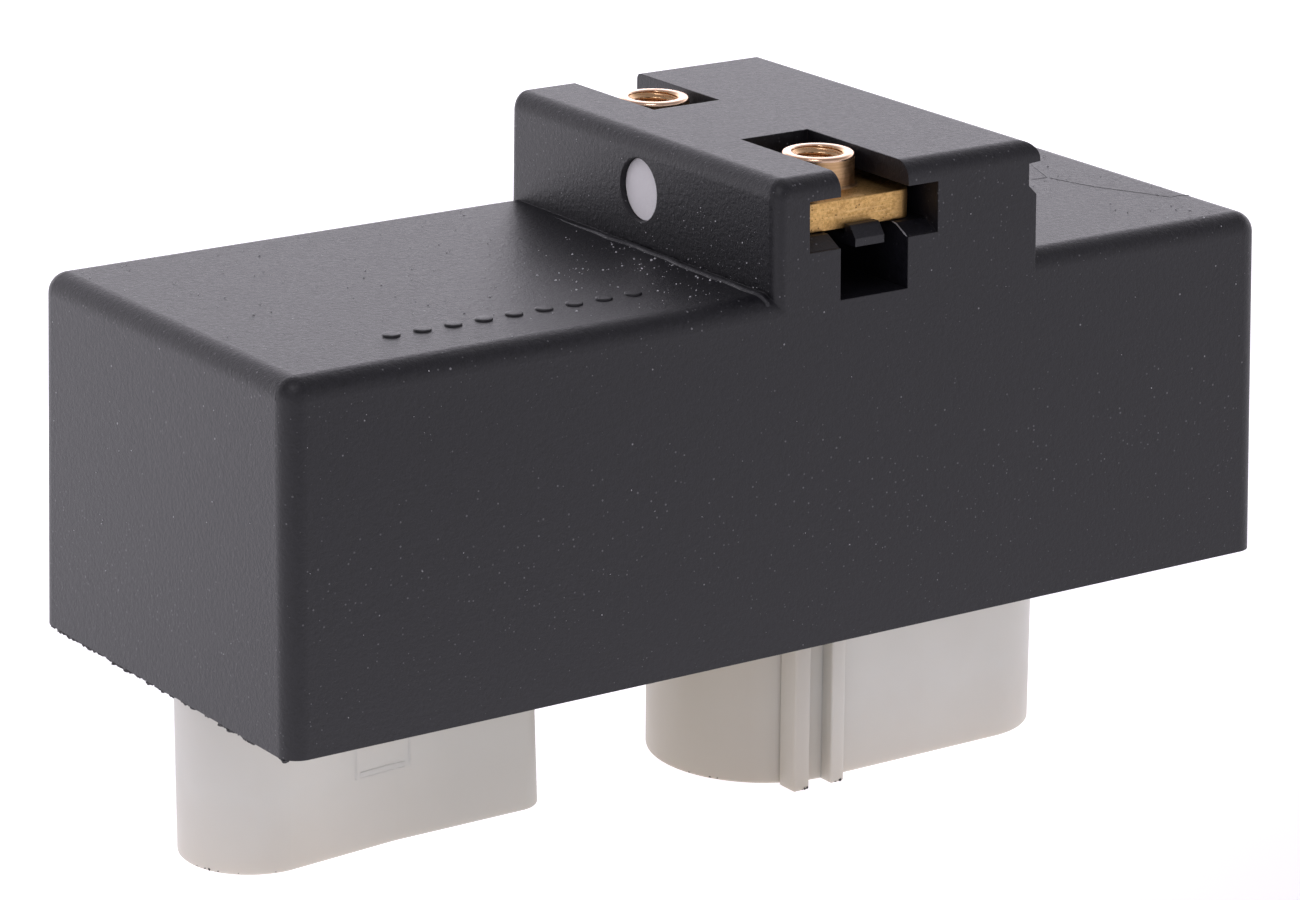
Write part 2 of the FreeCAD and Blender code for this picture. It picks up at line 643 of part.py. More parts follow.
keep(chip("controller_chip", -16.0, -13.8, 8.0, 6.0, 1.7, 8, 0.95), "microcontroller")
keep(chip("regulator_chip", -1.0, -14.5, 6.5, 3.6, 1.8, 3, 2.3), "voltage_regulator")
keep(group("driver_set", [chip("driver%d" % i, x, -14.5, 3.4, 2.4, 1.2, 2, 1.9)
                          for i, x in enumerate((8.0, 14.0, 20.0))]), "driver_transistors")
keep(group("diode_set", [block("diode%d" % i, (x, x + 4.4), (-16.0, -13.2), (on, on + 2.0))
                         for i, x in enumerate((24.0, 30.0, 36.0))]), "flyback_diodes")
keep(group("resistor_set", [block("resistor%d" % i, (x, x + 2.0), (-18.6, -17.4), (on, on + 0.5))
                            for i, x in enumerate((4.0, 8.0, 12.0, 16.0, 20.0, 24.0, 28.0, 32.0))]), "chip_resistors")
keep(group("ceramic_set", [block("ceramic%d" % i, (x, x + 1.6), (-8.8, -8.0), (on, on + 0.8))
                           for i, x in enumerate((-23.0, -20.0, -12.0, -9.0, -3.0, 1.0))]), "chip_capacitors")

# ------------------------------------------------------------------ relays
relay_y = dim("relay_row_y", 12.4, "centre line of the relays")
open_angle = dim("armature_angle", 4.0, "armature's tilt when the coil is off")
hinge_x = dim("armature_pivot_x", 8.6, "pivot from the relay's centre")
hinge_z = dim("armature_pivot_z", 14.03, "pivot above the relay's foot")


def tilt(obj, cx, cz):
    """Rest tilt of a moving piece about its relay's pivot line."""
    base = FreeCAD.Placement(Vector(0, 0, 0), Rotation(Vector(0, 1, 0), open_angle.v),
                             Vector((cx + hinge_x).v, 0, (cz + hinge_z).v))
    return base.multiply(obj)


def relay(k, cx):
    cx = dim("relay_%d_x" % k, cx)
    cy, cz = relay_y, on + 0.03
    t = "relay_%d_" % k

    def bx(name, x, y, z):
        return block(t + name, (cx + x[0], cx + x[1]), (cy + y[0], cy + y[1]), (cz + z[0], cz + z[1]))

    def cy_(name, r, x, y, z, h):
        return rod(t + name, r, cx + x, cy + y, cz + z, h)

    pins = [cy_("pin%d" % i, 0.5, x, y, -0.02, 0.5) for i, (x, y) in enumerate(((-9.0, 0.0), (9.0, 4.0), (9.0, -4.0)))]
    keep(fuse(t + "base_solid", [bx("base_block", (-11, 11), (-6.8, 6.8), (0, 1.5))] + pins), t + "base")
    yoke = fuse(t + "yoke_blank", [bx("yoke_foot", (-5.6, 8.6), (-5, 5), (1.55, 3.0)),
                                   bx("yoke_leg", (7.2, 8.6), (-5, 5), (1.55, 14.0))])
    keep(cut(t + "yoke_solid", yoke, [cy_("yoke_hole", 2.06, 0, 0, 0, 4)]), t + "yoke")
    spool = fuse(t + "spool", [cy_("spool_low", 5.6, 0, 0, 3.05, 0.8), cy_("spool_barrel", 2.7, 0, 0, 3.05, 9.9),
                               cy_("spool_high", 5.6, 0, 0, 12.2, 0.75)])
    keep(cut(t + "bobbin_solid", spool, [cy_("spool_bore", 2.08, 0, 0, 2, 12)]), t + "bobbin")
    keep(cut(t + "winding_solid", cy_("wire_pack", 5.25, 0, 0, 3.9, 8.25), [cy_("wire_bore", 2.76, 0, 0, 3, 10)]),
         t + "winding")
    keep(fuse(t + "core_solid", [cy_("core_rod", 2.0, 0, 0, 1.6, 11.6), cy_("core_head", 3.4, 0, 0, 13.0, 0.9)]),
         t + "core")
    # The armature and its contact leaf are drawn closed, then tilted open about the pivot.
    arm = bx("armature_plate", (-3.8, 8.6), (-4.8, 4.8), (14.03, 15.13))
    arm2 = doc.addObject("Part::Compound", t + "armature_tilted")
    arm2.Links = [arm]
    arm2.Placement = tilt(FreeCAD.Placement(), cx, cz)
    keep(arm2, t + "armature")
    leaf = fuse(t + "leaf", [bx("leaf_strip", (-10.0, 7.6), (-2.2, 2.2), (15.16, 15.46)),
                             cy_("leaf_button", 1.2, -8.8, 0, 14.5, 1.6)])
    leaf2 = doc.addObject("Part::Compound", t + "leaf_tilted")
    leaf2.Links = [leaf]
    leaf2.Placement = tilt(FreeCAD.Placement(), cx, cz)
    keep(leaf2, t + "contact_spring")
    keep(fuse(t + "make_solid", [bx("make_post", (-10.2, -9.6), (-1.5, 1.5), (1.55, 13.8)),
                                 bx("make_tab", (-10.2, -7.4), (-1.5, 1.5), (13.2, 13.8)),
                                 cy_("make_button", 1.2, -8.8, 0, 13.7, 0.7)]), t + "fixed_contact")
    keep(fuse(t + "rest_solid", [bx("rest_post", (-10.2, -9.6), (3.0, 5.5), (1.55, 18.1)),
                                 bx("rest_tab", (-10.2, -7.4), (-1.5, 5.5), (17.5, 18.1))]), t + "rest_contact")
    keep(cut(t + "cover_solid", bx("cover_block", (-11, 11), (-6.8, 6.8), (1.52, 19.6)),
             [bx("cover_hollow", (-10.3, 10.3), (-6.1, 6.1), (0.5, 18.9))]), t + "cover")


relay(1, -39.0)
relay(2, -15.0)
relay(3, 24.5)

# ------------------------------------------------------------------ check and write
doc.recompute()
bad = [o.Name for o in doc.Objects if "Invalid" in o.State or "Error" in o.State]
if bad:
    raise RuntimeError("failed objects: " + ", ".join(bad))
for label, obj in nodes.items():
    shape = obj.Shape
    if shape.isNull() or not shape.isValid() or not shape.Solids:
        raise RuntimeError("bad shape: " + label)
for label, obj in nodes.items():
    obj.Shape.exportStep("parts/%s.step" % label)
total = Part.makeCompound([o.Shape for o in nodes.values()])
b = total.BoundBox
print("nodes", len(nodes))
print("box", [round(v, 3) for v in (b.XMin, b.XMax, b.YMin, b.YMax, b.ZMin, b.ZMax)])
for label, obj in nodes.items():
    print("%-26s solids %d volume %.2f" % (label, len(obj.Shape.Solids), obj.Shape.Volume))
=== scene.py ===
import bpy
import bmesh
import json
import math
import random
from mathutils import Matrix, Vector, noise


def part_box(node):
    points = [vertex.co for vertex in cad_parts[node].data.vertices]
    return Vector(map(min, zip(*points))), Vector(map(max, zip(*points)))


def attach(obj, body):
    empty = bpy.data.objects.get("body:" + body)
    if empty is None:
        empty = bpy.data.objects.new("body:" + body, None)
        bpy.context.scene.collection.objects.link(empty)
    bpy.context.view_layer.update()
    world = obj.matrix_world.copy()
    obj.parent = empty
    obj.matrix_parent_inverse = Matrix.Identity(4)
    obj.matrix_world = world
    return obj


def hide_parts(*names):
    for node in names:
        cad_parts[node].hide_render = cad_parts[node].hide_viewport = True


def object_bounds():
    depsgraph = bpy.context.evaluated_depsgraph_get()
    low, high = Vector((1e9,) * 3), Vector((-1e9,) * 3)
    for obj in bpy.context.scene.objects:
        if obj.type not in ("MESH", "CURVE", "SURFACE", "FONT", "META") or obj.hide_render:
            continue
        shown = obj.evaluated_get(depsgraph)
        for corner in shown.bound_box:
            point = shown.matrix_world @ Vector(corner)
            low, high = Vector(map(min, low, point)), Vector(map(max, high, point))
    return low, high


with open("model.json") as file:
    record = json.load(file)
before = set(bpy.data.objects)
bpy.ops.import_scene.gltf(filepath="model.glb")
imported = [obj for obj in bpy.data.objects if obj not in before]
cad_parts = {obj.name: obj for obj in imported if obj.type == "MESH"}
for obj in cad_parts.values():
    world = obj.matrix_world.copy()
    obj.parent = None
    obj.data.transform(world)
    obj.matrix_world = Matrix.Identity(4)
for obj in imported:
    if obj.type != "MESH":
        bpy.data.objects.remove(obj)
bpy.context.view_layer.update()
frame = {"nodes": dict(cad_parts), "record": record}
MM = 0.001


# ------------------------------------------------------------------ node helpers
class Tree:
    """Short ways to add shader nodes to one material."""

    def __init__(self, name):
        self.m = bpy.data.materials.new(name)
        self.m.use_nodes = True
        self.t = self.m.node_tree
        self.t.nodes.clear()
        self.out = self.t.nodes.new("ShaderNodeOutputMaterial")
        self.b = self.t.nodes.new("ShaderNodeBsdfPrincipled")
        self.link(self.b.outputs["BSDF"], self.out.inputs["Surface"])
        self.co = self.t.nodes.new("ShaderNodeTexCoord").outputs["Object"]

    def link(self, a, b):
        self.t.links.new(a, b)

    def put(self, socket, v):
        if isinstance(v, bpy.types.NodeSocket):
            self.link(v, socket)
        else:
            socket.default_value = v

    def noise(self, scale, detail=2.0, rough=0.5, dist=0.0, co=None, out="Fac"):
        n = self.t.nodes.new("ShaderNodeTexNoise")
        n.inputs["Scale"].default_value = scale
        n.inputs["Detail"].default_value = detail
        n.inputs["Roughness"].default_value = rough
        n.inputs["Distortion"].default_value = dist
        self.link(co or self.co, n.inputs["Vector"])
        return n.outputs[out]

    def cells(self, scale, out="Distance", feature="F1", rand=1.0, co=None):
        n = self.t.nodes.new("ShaderNodeTexVoronoi")
        n.feature = feature
        n.inputs["Scale"].default_value = scale
        n.inputs["Randomness"].default_value = rand
        self.link(co or self.co, n.inputs["Vector"])
        return n.outputs[out]

    def cell_pair(self, scale, co=None):
        """Distance to the nearest cell centre, and that cell's own random colour."""
        n = self.t.nodes.new("ShaderNodeTexVoronoi")
        n.inputs["Scale"].default_value = scale
        self.link(co or self.co, n.inputs["Vector"])
        return n.outputs["Distance"], n.outputs["Color"]

    def split(self, color):
        n = self.t.nodes.new("ShaderNodeSeparateColor")
        self.link(color, n.inputs[0])
        return n.outputs

    def wave(self, scale, dist=0.0, detail=2.0, kind="BANDS", way="X", co=None):
        n = self.t.nodes.new("ShaderNodeTexWave")
        n.wave_type = kind
        if kind == "BANDS":
            n.bands_direction = way
        else:
            n.rings_direction = way
        n.inputs["Scale"].default_value = scale
        n.inputs["Distortion"].default_value = dist
        n.inputs["Detail"].default_value = detail
        self.link(co or self.co, n.inputs["Vector"])
        return n.outputs["Fac"]

    def moved(self, scale=(1, 1, 1), loc=(0, 0, 0), rot=(0, 0, 0)):
        n = self.t.nodes.new("ShaderNodeMapping")
        n.inputs["Location"].default_value = loc
        n.inputs["Rotation"].default_value = rot
        n.inputs["Scale"].default_value = scale
        self.link(self.co, n.inputs["Vector"])
        return n.outputs["Vector"]

    def span(self, v, a, b, lo=0.0, hi=1.0):
        """v from a..b to lo..hi, held at its ends."""
        n = self.t.nodes.new("ShaderNodeMapRange")
        n.clamp = True
        self.put(n.inputs["Value"], v)
        n.inputs["From Min"].default_value = a
        n.inputs["From Max"].default_value = b
        n.inputs["To Min"].default_value = lo
        n.inputs["To Max"].default_value = hi
        return n.outputs["Result"]

    def math(self, op, a, b=0.0):
        n = self.t.nodes.new("ShaderNodeMath")
        n.operation = op
        self.put(n.inputs[0], a)
        self.put(n.inputs[1], b)
        return n.outputs[0]

    def mix(self, f, a, b):
        n = self.t.nodes.new("ShaderNodeMix")
        n.data_type = "RGBA"
        self.put(n.inputs[0], f)
        self.put(n.inputs[6], a if isinstance(a, bpy.types.NodeSocket) else (*a, 1.0))
        self.put(n.inputs[7], b if isinstance(b, bpy.types.NodeSocket) else (*b, 1.0))
        return n.outputs[2]

    def sep(self):
        n = self.t.nodes.new("ShaderNodeSeparateXYZ")
        self.link(self.co, n.inputs[0])
        return n.outputs

    def normal_up(self):
        """How far the surface faces up, from the true normal."""
        g = self.t.nodes.new("ShaderNodeNewGeometry")
        n = self.t.nodes.new("ShaderNodeSeparateXYZ")
        self.link(g.outputs["Normal"], n.inputs[0])
        return n.outputs[2]

    def bump(self, height, strength=0.5, distance=0.0001, base=None):
        n = self.t.nodes.new("ShaderNodeBump")
        n.inputs["Strength"].default_value = strength
        n.inputs["Distance"].default_value = distance
        self.link(height, n.inputs["Height"])
        if base is not None:
            self.link(base, n.inputs["Normal"])
        return n.outputs["Normal"]

    def soft_edge(self, radius):
        n = self.t.nodes.new("ShaderNodeBevel")
        n.samples = 4
        n.inputs["Radius"].default_value = radius
        return n.outputs["Normal"]

    def finish(self, color, rough, normal=None, metal=0.0, **consts):
        self.put(self.b.inputs["Base Color"], color if isinstance(color, bpy.types.NodeSocket) else (*color, 1.0))
        self.put(self.b.inputs["Roughness"], rough)
        self.b.inputs["Metallic"].default_value = metal
        if normal is not None:
            self.link(normal, self.b.inputs["Normal"])
        for k, v in consts.items():
            self.b.inputs[k].default_value = v
        return self.m


# ------------------------------------------------------------------ materials
def black_plastic(name="housing_plastic", base=(0.0012, 0.0012, 0.0028), lift=(0.0078, 0.0076, 0.0112), dusty=1.0,
                  rough=(0.37, 0.49)):
    t = Tree(name)
    fine = t.noise(5200, 3, 0.7)
    grain = t.noise(2100, 3, 0.65)
    color = t.mix(t.span(t.math("ADD", t.math("MULTIPLY", fine, 0.6), t.math("MULTIPLY", grain, 0.4)), 0.38, 0.62),
                  base, lift)
    x, y, z = t.sep()
    # Settled dust: pale specks of many sizes, thickest along the boss's left foot.
    near = t.math("MULTIPLY", t.span(t.math("ABSOLUTE", t.math("ADD", x, 0.0052)), 0.0015, 0.013, 1.0, 0.0),
                  t.span(z, 0.048, 0.0515))
    near = t.math("MULTIPLY", near, t.span(y, 0.004, 0.014, 1.0, 0.25))
    total = None
    for scale, size0, size1, keep0, keep1, gain in (
            (900, 0.035, 0.10, 0.90, 0.45, 0.40), (430, 0.018, 0.045, 0.965, 0.75, 0.60),
            (1900, 0.06, 0.20, 0.62, 0.35, 0.16)):
        d, tint = t.cell_pair(scale)
        r, g, b = t.split(tint)
        # Each cell has its own chance, size and strength.
        limit = t.math("SUBTRACT", keep0, t.math("MULTIPLY", near, keep0 - keep1))
        on = t.math("GREATER_THAN", r, limit)
        size = t.span(g, 0.0, 1.0, size0, size1)
        body = t.math("MULTIPLY", on, t.math("LESS_THAN", d, size))
        body = t.math("MULTIPLY", body, t.span(b, 0.0, 1.0, gain * 0.25 * dusty, gain * dusty))
        total = body if total is None else t.math("MAXIMUM", total, body)
    color = t.mix(total, color, (0.60, 0.60, 0.62))
    # A few dark pin holes.
    d, tint = t.cell_pair(260)
    r, g, b = t.split(tint)
    pit = t.math("MULTIPLY", t.math("GREATER_THAN", r, 0.80), t.math("LESS_THAN", d, 0.028))
    color = t.mix(pit, color, (0.0, 0.0, 0.0))
    rough_v = t.math("ADD", t.span(t.math("ADD", t.math("MULTIPLY", fine, 0.6), t.math("MULTIPLY", grain, 0.4)), 0.34, 0.66,
                               *rough), t.math("MULTIPLY", total, 0.3))
    h = t.math("ADD", t.math("MULTIPLY", fine, 0.6), grain)
    h = t.math("SUBTRACT", h, t.math("MULTIPLY", pit, 1.6))
    return t.finish(color, rough_v, t.bump(h, 0.95, 0.000055, t.soft_edge(0.00014)), **{"Specular IOR Level": 0.5})


def natural_plastic():
    t = Tree("natural_plastic")
    broad = t.noise(60, 3, 0.5)
    x, y, z = t.sep()
    color = t.mix(t.span(broad, 0.3, 0.7), (0.583, 0.571, 0.520), (0.628, 0.617, 0.566))
    # Warmer and a little darker towards the mouth, at the lower end.
    warm = t.span(t.math("ADD", z, t.math("MULTIPLY", t.noise(120, 3, 0.6), 0.004)), 0.003, 0.010, 0.5, 0.0)
    color = t.mix(warm, color, (0.575, 0.525, 0.445))
    # Darker and yellower round the control header's left-hand end: partly a yellow tint in the plastic, partly painted
    # shade on the end that faces front-left.
    stain_and_painted_shade = t.math("MULTIPLY", t.span(x, -0.004, -0.001), t.span(x, 0.003, 0.012, 0.75, 0.0))
    color = t.mix(stain_and_painted_shade, color, (0.405, 0.365, 0.295))
    # Darker over the power header's right-hand part: painted shade.
    stain_and_painted_shade = t.math("MULTIPLY", t.span(x, -0.042, -0.026, 0.0, 0.7), t.span(x, -0.012, -0.008, 1.0, 0.0))
    color = t.mix(stain_and_painted_shade, color, (0.470, 0.461, 0.415))
    d, tint = t.cell_pair(210)
    r, g, b = t.split(tint)
    speck = t.math("MULTIPLY", t.math("GREATER_THAN", r, 0.90), t.math("LESS_THAN", d, t.span(g, 0, 1, 0.012, 0.04)))
    color = t.mix(t.math("MULTIPLY", speck, 0.55), color, (0.14, 0.11, 0.09))
    smudge = t.span(t.noise(34, 4, 0.62), 0.60, 0.74, 0.0, 0.16)
    color = t.mix(smudge, color, (0.50, 0.45, 0.40))
    rough = t.span(t.noise(150, 3, 0.6), 0.3, 0.7, 0.38, 0.50)
    h = t.math("ADD", t.noise(1500, 3, 0.6), t.math("MULTIPLY", t.noise(320, 2, 0.5, co=t.moved((1, 1, 0.25))), 0.8))
    return t.finish(color, rough, t.bump(h, 0.22, 0.00004, t.soft_edge(0.00018)),
                    **{"Subsurface Weight": 0.3, "Subsurface Radius": (1.0, 0.86, 0.74), "Subsurface Scale": 0.0016})


def brass_sawn():
    t = Tree("brass_sawn")
    pits = t.noise(3600, 4, 0.72)
    saw = t.noise(1400, 3, 0.6, co=t.moved((0.22, 0.22, 3.2)))
    broad = t.noise(330, 3, 0.6)
    color = t.mix(t.span(pits, 0.36, 0.60), (0.50, 0.295, 0.095), (0.78, 0.495, 0.19))
    color = t.mix(t.span(saw, 0.50, 0.72, 0.0, 0.55), color, (0.90, 0.64, 0.31))
    color = t.mix(t.span(broad, 0.42, 0.70, 0.0, 0.55), color, (0.50, 0.30, 0.125))
    d, tint = t.cell_pair(2600)
    r, g, b = t.split(tint)
    dark = t.math("MULTIPLY", t.math("GREATER_THAN", r, 0.72), t.math("LESS_THAN", d, t.span(g, 0, 1, 0.12, 0.30)))
    color = t.mix(t.math("MULTIPLY", dark, 0.75), color, (0.14, 0.07, 0.025))
    rough = t.span(pits, 0.3, 0.7, 0.52, 0.36)
    h = t.math("SUBTRACT", t.math("ADD", pits, t.math("MULTIPLY", saw, 0.7)), t.math("MULTIPLY", dark, 0.7))
    return t.finish(color, rough, t.bump(h, 0.45, 0.00004, t.soft_edge(0.00008)), 1.0)


def brass_turned(name, a, b, rough0, rough1, lines=0.35):
    t = Tree(name)
    rings = t.noise(2100, 2, 0.6, co=t.moved((0.05, 0.05, 3.0)))
    n = t.noise(1500, 3, 0.65)
    f = t.math("ADD", t.math("MULTIPLY", rings, 0.6), t.math("MULTIPLY", n, 0.4))
    color = t.mix(t.span(f, 0.38, 0.62), a, b)
    rough = t.span(n, 0.3, 0.7, rough0, rough1)
    return t.finish(color, rough, t.bump(f, lines, 0.00003), 1.0)


def simple(name, a, b, scale, r0, r1, metal=0.0, bump=0.25, bump_scale=None, stretch=(1, 1, 1), **consts):
    t = Tree(name)
    co = t.moved(stretch)
    n = t.noise(scale, 3, 0.6, co=co)
    color = t.mix(t.span(n, 0.35, 0.65), a, b)
    rough = t.span(t.noise(scale * 1.7, 2, 0.6, co=co), 0.3, 0.7, r0, r1)
    h = t.noise(bump_scale or scale * 3, 3, 0.6, co=co)
    return t.finish(color, rough, t.bump(h, bump, 0.00004, t.soft_edge(0.0001)), metal, **consts)


def winding():
    t = Tree("copper_winding")
    x, y, z = t.sep()
    h = t.wave(2600, 0.2, 1.0, "BANDS", "Z")
    color = t.mix(t.span(h, 0.2, 0.8), (0.16, 0.05, 0.02), (0.62, 0.26, 0.12))
    return t.finish(color, t.span(t.noise(300), 0.3, 0.7, 0.25, 0.4), t.bump(h, 0.6, 0.0001), 0.7)


M = {
    "housing_plastic": black_plastic(),
    "flash_plastic": black_plastic("flash_plastic", (0.012, 0.012, 0.015), (0.022, 0.022, 0.026), 1.0, (0.40, 0.50)),
    # Pale plastic for the torn sliver: a painted highlight.
    "chip_painted_highlight": black_plastic("chip_painted_highlight", (0.20, 0.20, 0.21), (0.36, 0.36, 0.37), 0.5, (0.25, 0.35)),
    "dust": simple("dust", (0.55, 0.55, 0.57), (0.78, 0.78, 0.80), 4000, 0.7, 0.9, bump=0.4),
    "scratch_plastic": black_plastic("scratch_plastic", (0.003, 0.003, 0.003), (0.005, 0.005, 0.005), 0.2, (0.5, 0.6)),
    "natural_plastic": natural_plastic(),
    "nut_brass": brass_sawn(),
    "brass_neck": brass_turned("brass_neck", (0.60, 0.375, 0.19), (0.76, 0.51, 0.29), 0.33, 0.48),
    "brass_rim": brass_turned("brass_rim", (0.84, 0.61, 0.45), (0.76, 0.49, 0.32), 0.16, 0.28, 0.22),
    "brass_thread": brass_turned("brass_thread", (0.70, 0.44, 0.23), (0.80, 0.53, 0.31), 0.20, 0.32, 0.2),
    "membrane": simple("membrane", (0.95, 0.925, 0.945), (0.98, 0.96, 0.975), 900, 0.55, 0.7, bump=0.35, bump_scale=2600),
    "sealant": simple("sealant", (0.007, 0.007, 0.007), (0.018, 0.017, 0.017), 500, 0.3, 0.55, bump=0.6),
    "tinned_metal": simple("tinned_metal", (0.62, 0.61, 0.58), (0.74, 0.73, 0.70), 400, 0.22, 0.36, 1.0,
                           stretch=(1, 1, 0.15)),
    "board_laminate": simple("board_laminate", (0.012, 0.075, 0.03), (0.018, 0.10, 0.045), 300, 0.25, 0.35),
    "copper": simple("copper", (0.72, 0.33, 0.19), (0.80, 0.42, 0.26), 300, 0.25, 0.4, 1.0, stretch=(0.2, 1, 1)),
    "shunt_alloy": simple("shunt_alloy", (0.45, 0.33, 0.24), (0.55, 0.42, 0.32), 300, 0.3, 0.45, 1.0),
    "capacitor_can": simple("capacitor_can", (0.60, 0.61, 0.63), (0.70, 0.71, 0.73), 400, 0.2, 0.35, 1.0,
                            stretch=(1, 1, 0.2)),
    "chip_package": simple("chip_package", (0.018, 0.018, 0.02), (0.03, 0.03, 0.032), 900, 0.5, 0.65, bump=0.5),
    "chip_ceramic": simple("chip_ceramic", (0.30, 0.22, 0.15), (0.42, 0.33, 0.24), 900, 0.4, 0.55),
    "relay_plastic": simple("relay_plastic", (0.03, 0.03, 0.034), (0.045, 0.045, 0.05), 700, 0.35, 0.5),
    "bobbin_plastic": simple("bobbin_plastic", (0.66, 0.64, 0.58), (0.74, 0.72, 0.66), 500, 0.4, 0.5),
    "relay_iron": simple("relay_iron", (0.50, 0.50, 0.47), (0.60, 0.60, 0.57), 500, 0.25, 0.4, 1.0),
    "contact_bronze": simple("contact_bronze", (0.70, 0.42, 0.20), (0.80, 0.52, 0.28), 500, 0.25, 0.4, 1.0),
    "winding": winding(),
}


def dress(obj, m):
    if not obj.data.materials:
        obj.data.materials.append(m)
    for i in range(len(obj.data.materials)):
        obj.data.materials[i] = m


slots = {s["node"]: s["material_slot"] for s in frame["record"]["subparts"]}
for name, obj in frame["nodes"].items():
    dress(obj, M["winding"] if name.endswith("_winding") else M[slots[name]])


# ------------------------------------------------------------------ mesh helpers (everything in millimetres until made)
class Shape:
    """Collects closed shells, then makes one object of them."""

    def __init__(self, name):
        self.name = name
        self.v, self.f, self.fm = [], [], []

    def rings(self, rings, mats=0, cap0=False, cap1=False, loop=False):
        """Skin over rings of equally many points. mats is one slot or one per band."""
        base = len(self.v)
        n = len(rings[0])
        for r in rings:
            self.v.extend(r)
        bands = len(rings) if loop else len(rings) - 1
        for j in range(bands):
            k = (j + 1) % len(rings)
            for i in range(n):
                i2 = (i + 1) % n
                self.f.append((base + j * n + i, base + j * n + i2, base + k * n + i2, base + k * n + i))
                self.fm.append(mats[j] if isinstance(mats, (list, tuple)) else mats)
        if cap0:
            self.f.append(tuple(base + i for i in reversed(range(n))))
            self.fm.append(mats[0] if isinstance(mats, (list, tuple)) else mats)
        if cap1:
            self.f.append(tuple(base + (len(rings) - 1) * n + i for i in range(n)))
            self.fm.append(mats[-1] if isinstance(mats, (list, tuple)) else mats)

    def sweep(self, path, profile, closed=False, mat=0, widths=None):
        """Closed profile (across, up) carried along a path that lies roughly flat."""
        n = len(path)
        rings = []
        for i, p in enumerate(path):
            a = Vector(path[(i - 1) % n] if closed or i > 0 else path[0])
            b = Vector(path[(i + 1) % n] if closed or i < n - 1 else path[-1])
            way = b - a
            flat = Vector((way.x, way.y, 0)).normalized()
            side = Vector((-flat.y, flat.x, 0))
            # Mitre: keep the stroke's width through a corner.
            grow = 1.0
            if closed or 0 < i < n - 1:
                w1 = (Vector(p) - a)
                w1 = Vector((w1.x, w1.y, 0))
                if w1.length > 1e-6:
                    grow = 1.0 / max(0.5, flat.dot(w1.normalized()))
            w = grow * (widths[i] if widths else 1.0)
            rings.append([tuple(Vector(p) + side * (u * w) + Vector((0, 0, v))) for u, v in profile])
        self.rings(rings, mat, cap0=not closed, cap1=not closed, loop=closed)

    def blob(self, centre, size, rng, squash=1.0, mat=0):
        """Small irregular lump."""
        bm = bmesh.new()
        bmesh.ops.create_icosphere(bm, subdivisions=2, radius=1.0)
        seed = Vector((rng.random() * 50, rng.random() * 50, rng.random() * 50))
        sx, sy, sz = (0.7 + rng.random() * 0.7 for _ in range(3))
        base = len(self.v)
        for v in bm.verts:
            k = 1.0 + 0.55 * noise.noise(v.co * 1.7 + seed) + 0.25 * noise.noise(v.co * 4.1 + seed)
            q = v.co * k
            self.v.append((centre[0] + q.x * size * sx, centre[1] + q.y * size * sy, centre[2] + q.z * size * sz * squash))
        for f in bm.faces:
            self.f.append(tuple(base + v.index for v in f.verts))
            self.fm.append(mat)
        bm.free()

    def make(self, mats, body, sharp=32.0, replaces=()):
        me = bpy.data.meshes.new(self.name)
        me.from_pydata([tuple(c * MM for c in v) for v in self.v], [], self.f)
        for m in mats:
            me.materials.append(m)
        for p, k in zip(me.polygons, self.fm):
            p.material_index = k
            p.use_smooth = True
        bm = bmesh.new()
        bm.from_mesh(me)
        bmesh.ops.remove_doubles(bm, verts=bm.verts, dist=1e-7)
        bmesh.ops.recalc_face_normals(bm, faces=bm.faces)
        bm.to_mesh(me)
        bm.free()
        me.validate()
        me.set_sharp_from_angle(angle=math.radians(sharp))
        o = bpy.data.objects.new(self.name, me)
        bpy.context.scene.collection.objects.link(o)
        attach(o, body)
        if replaces:
            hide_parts(*replaces)
        return o


def rounded(pts, radii, off=0.0, step=4.0):
    """Outline of a polygon (anticlockwise) moved inwards by off, with each corner rounded; radii shrink by off."""
    n = len(pts)
    out = []
    for i in range(n):
        p0, p1, p2 = Vector(pts[i - 1]), Vector(pts[i]), Vector(pts[(i + 1) % n])
        a, b = (p1 - p0).normalized(), (p2 - p1).normalized()
        na, nb = Vector((-a.y, a.x)), Vector((-b.y, b.x))
        turn = math.atan2(a.x * b.y - a.y * b.x, a.dot(b))
        r = radii[i]
        k = max(1, int(round(abs(math.degrees(turn)) / step))) if r > 0 else 0
        m = (na + nb) / (1.0 + na.dot(nb))
        if r <= 0:
            out.append(tuple(p1 + m * off))
            continue
        c = p1 + m * (r if turn > 0 else -r)
        for j in range(k + 1):
            t = math.atan2(-na.y, -na.x) + turn * j / k if turn > 0 else math.atan2(na.y, na.x) + turn * j / k
            rr = max(0.02, r - off if turn > 0 else r + off)
            out.append((c.x + rr * math.cos(t), c.y + rr * math.sin(t)))
    return out


def lift(outline, z):
    return [(x, y, z) for x, y in outline]


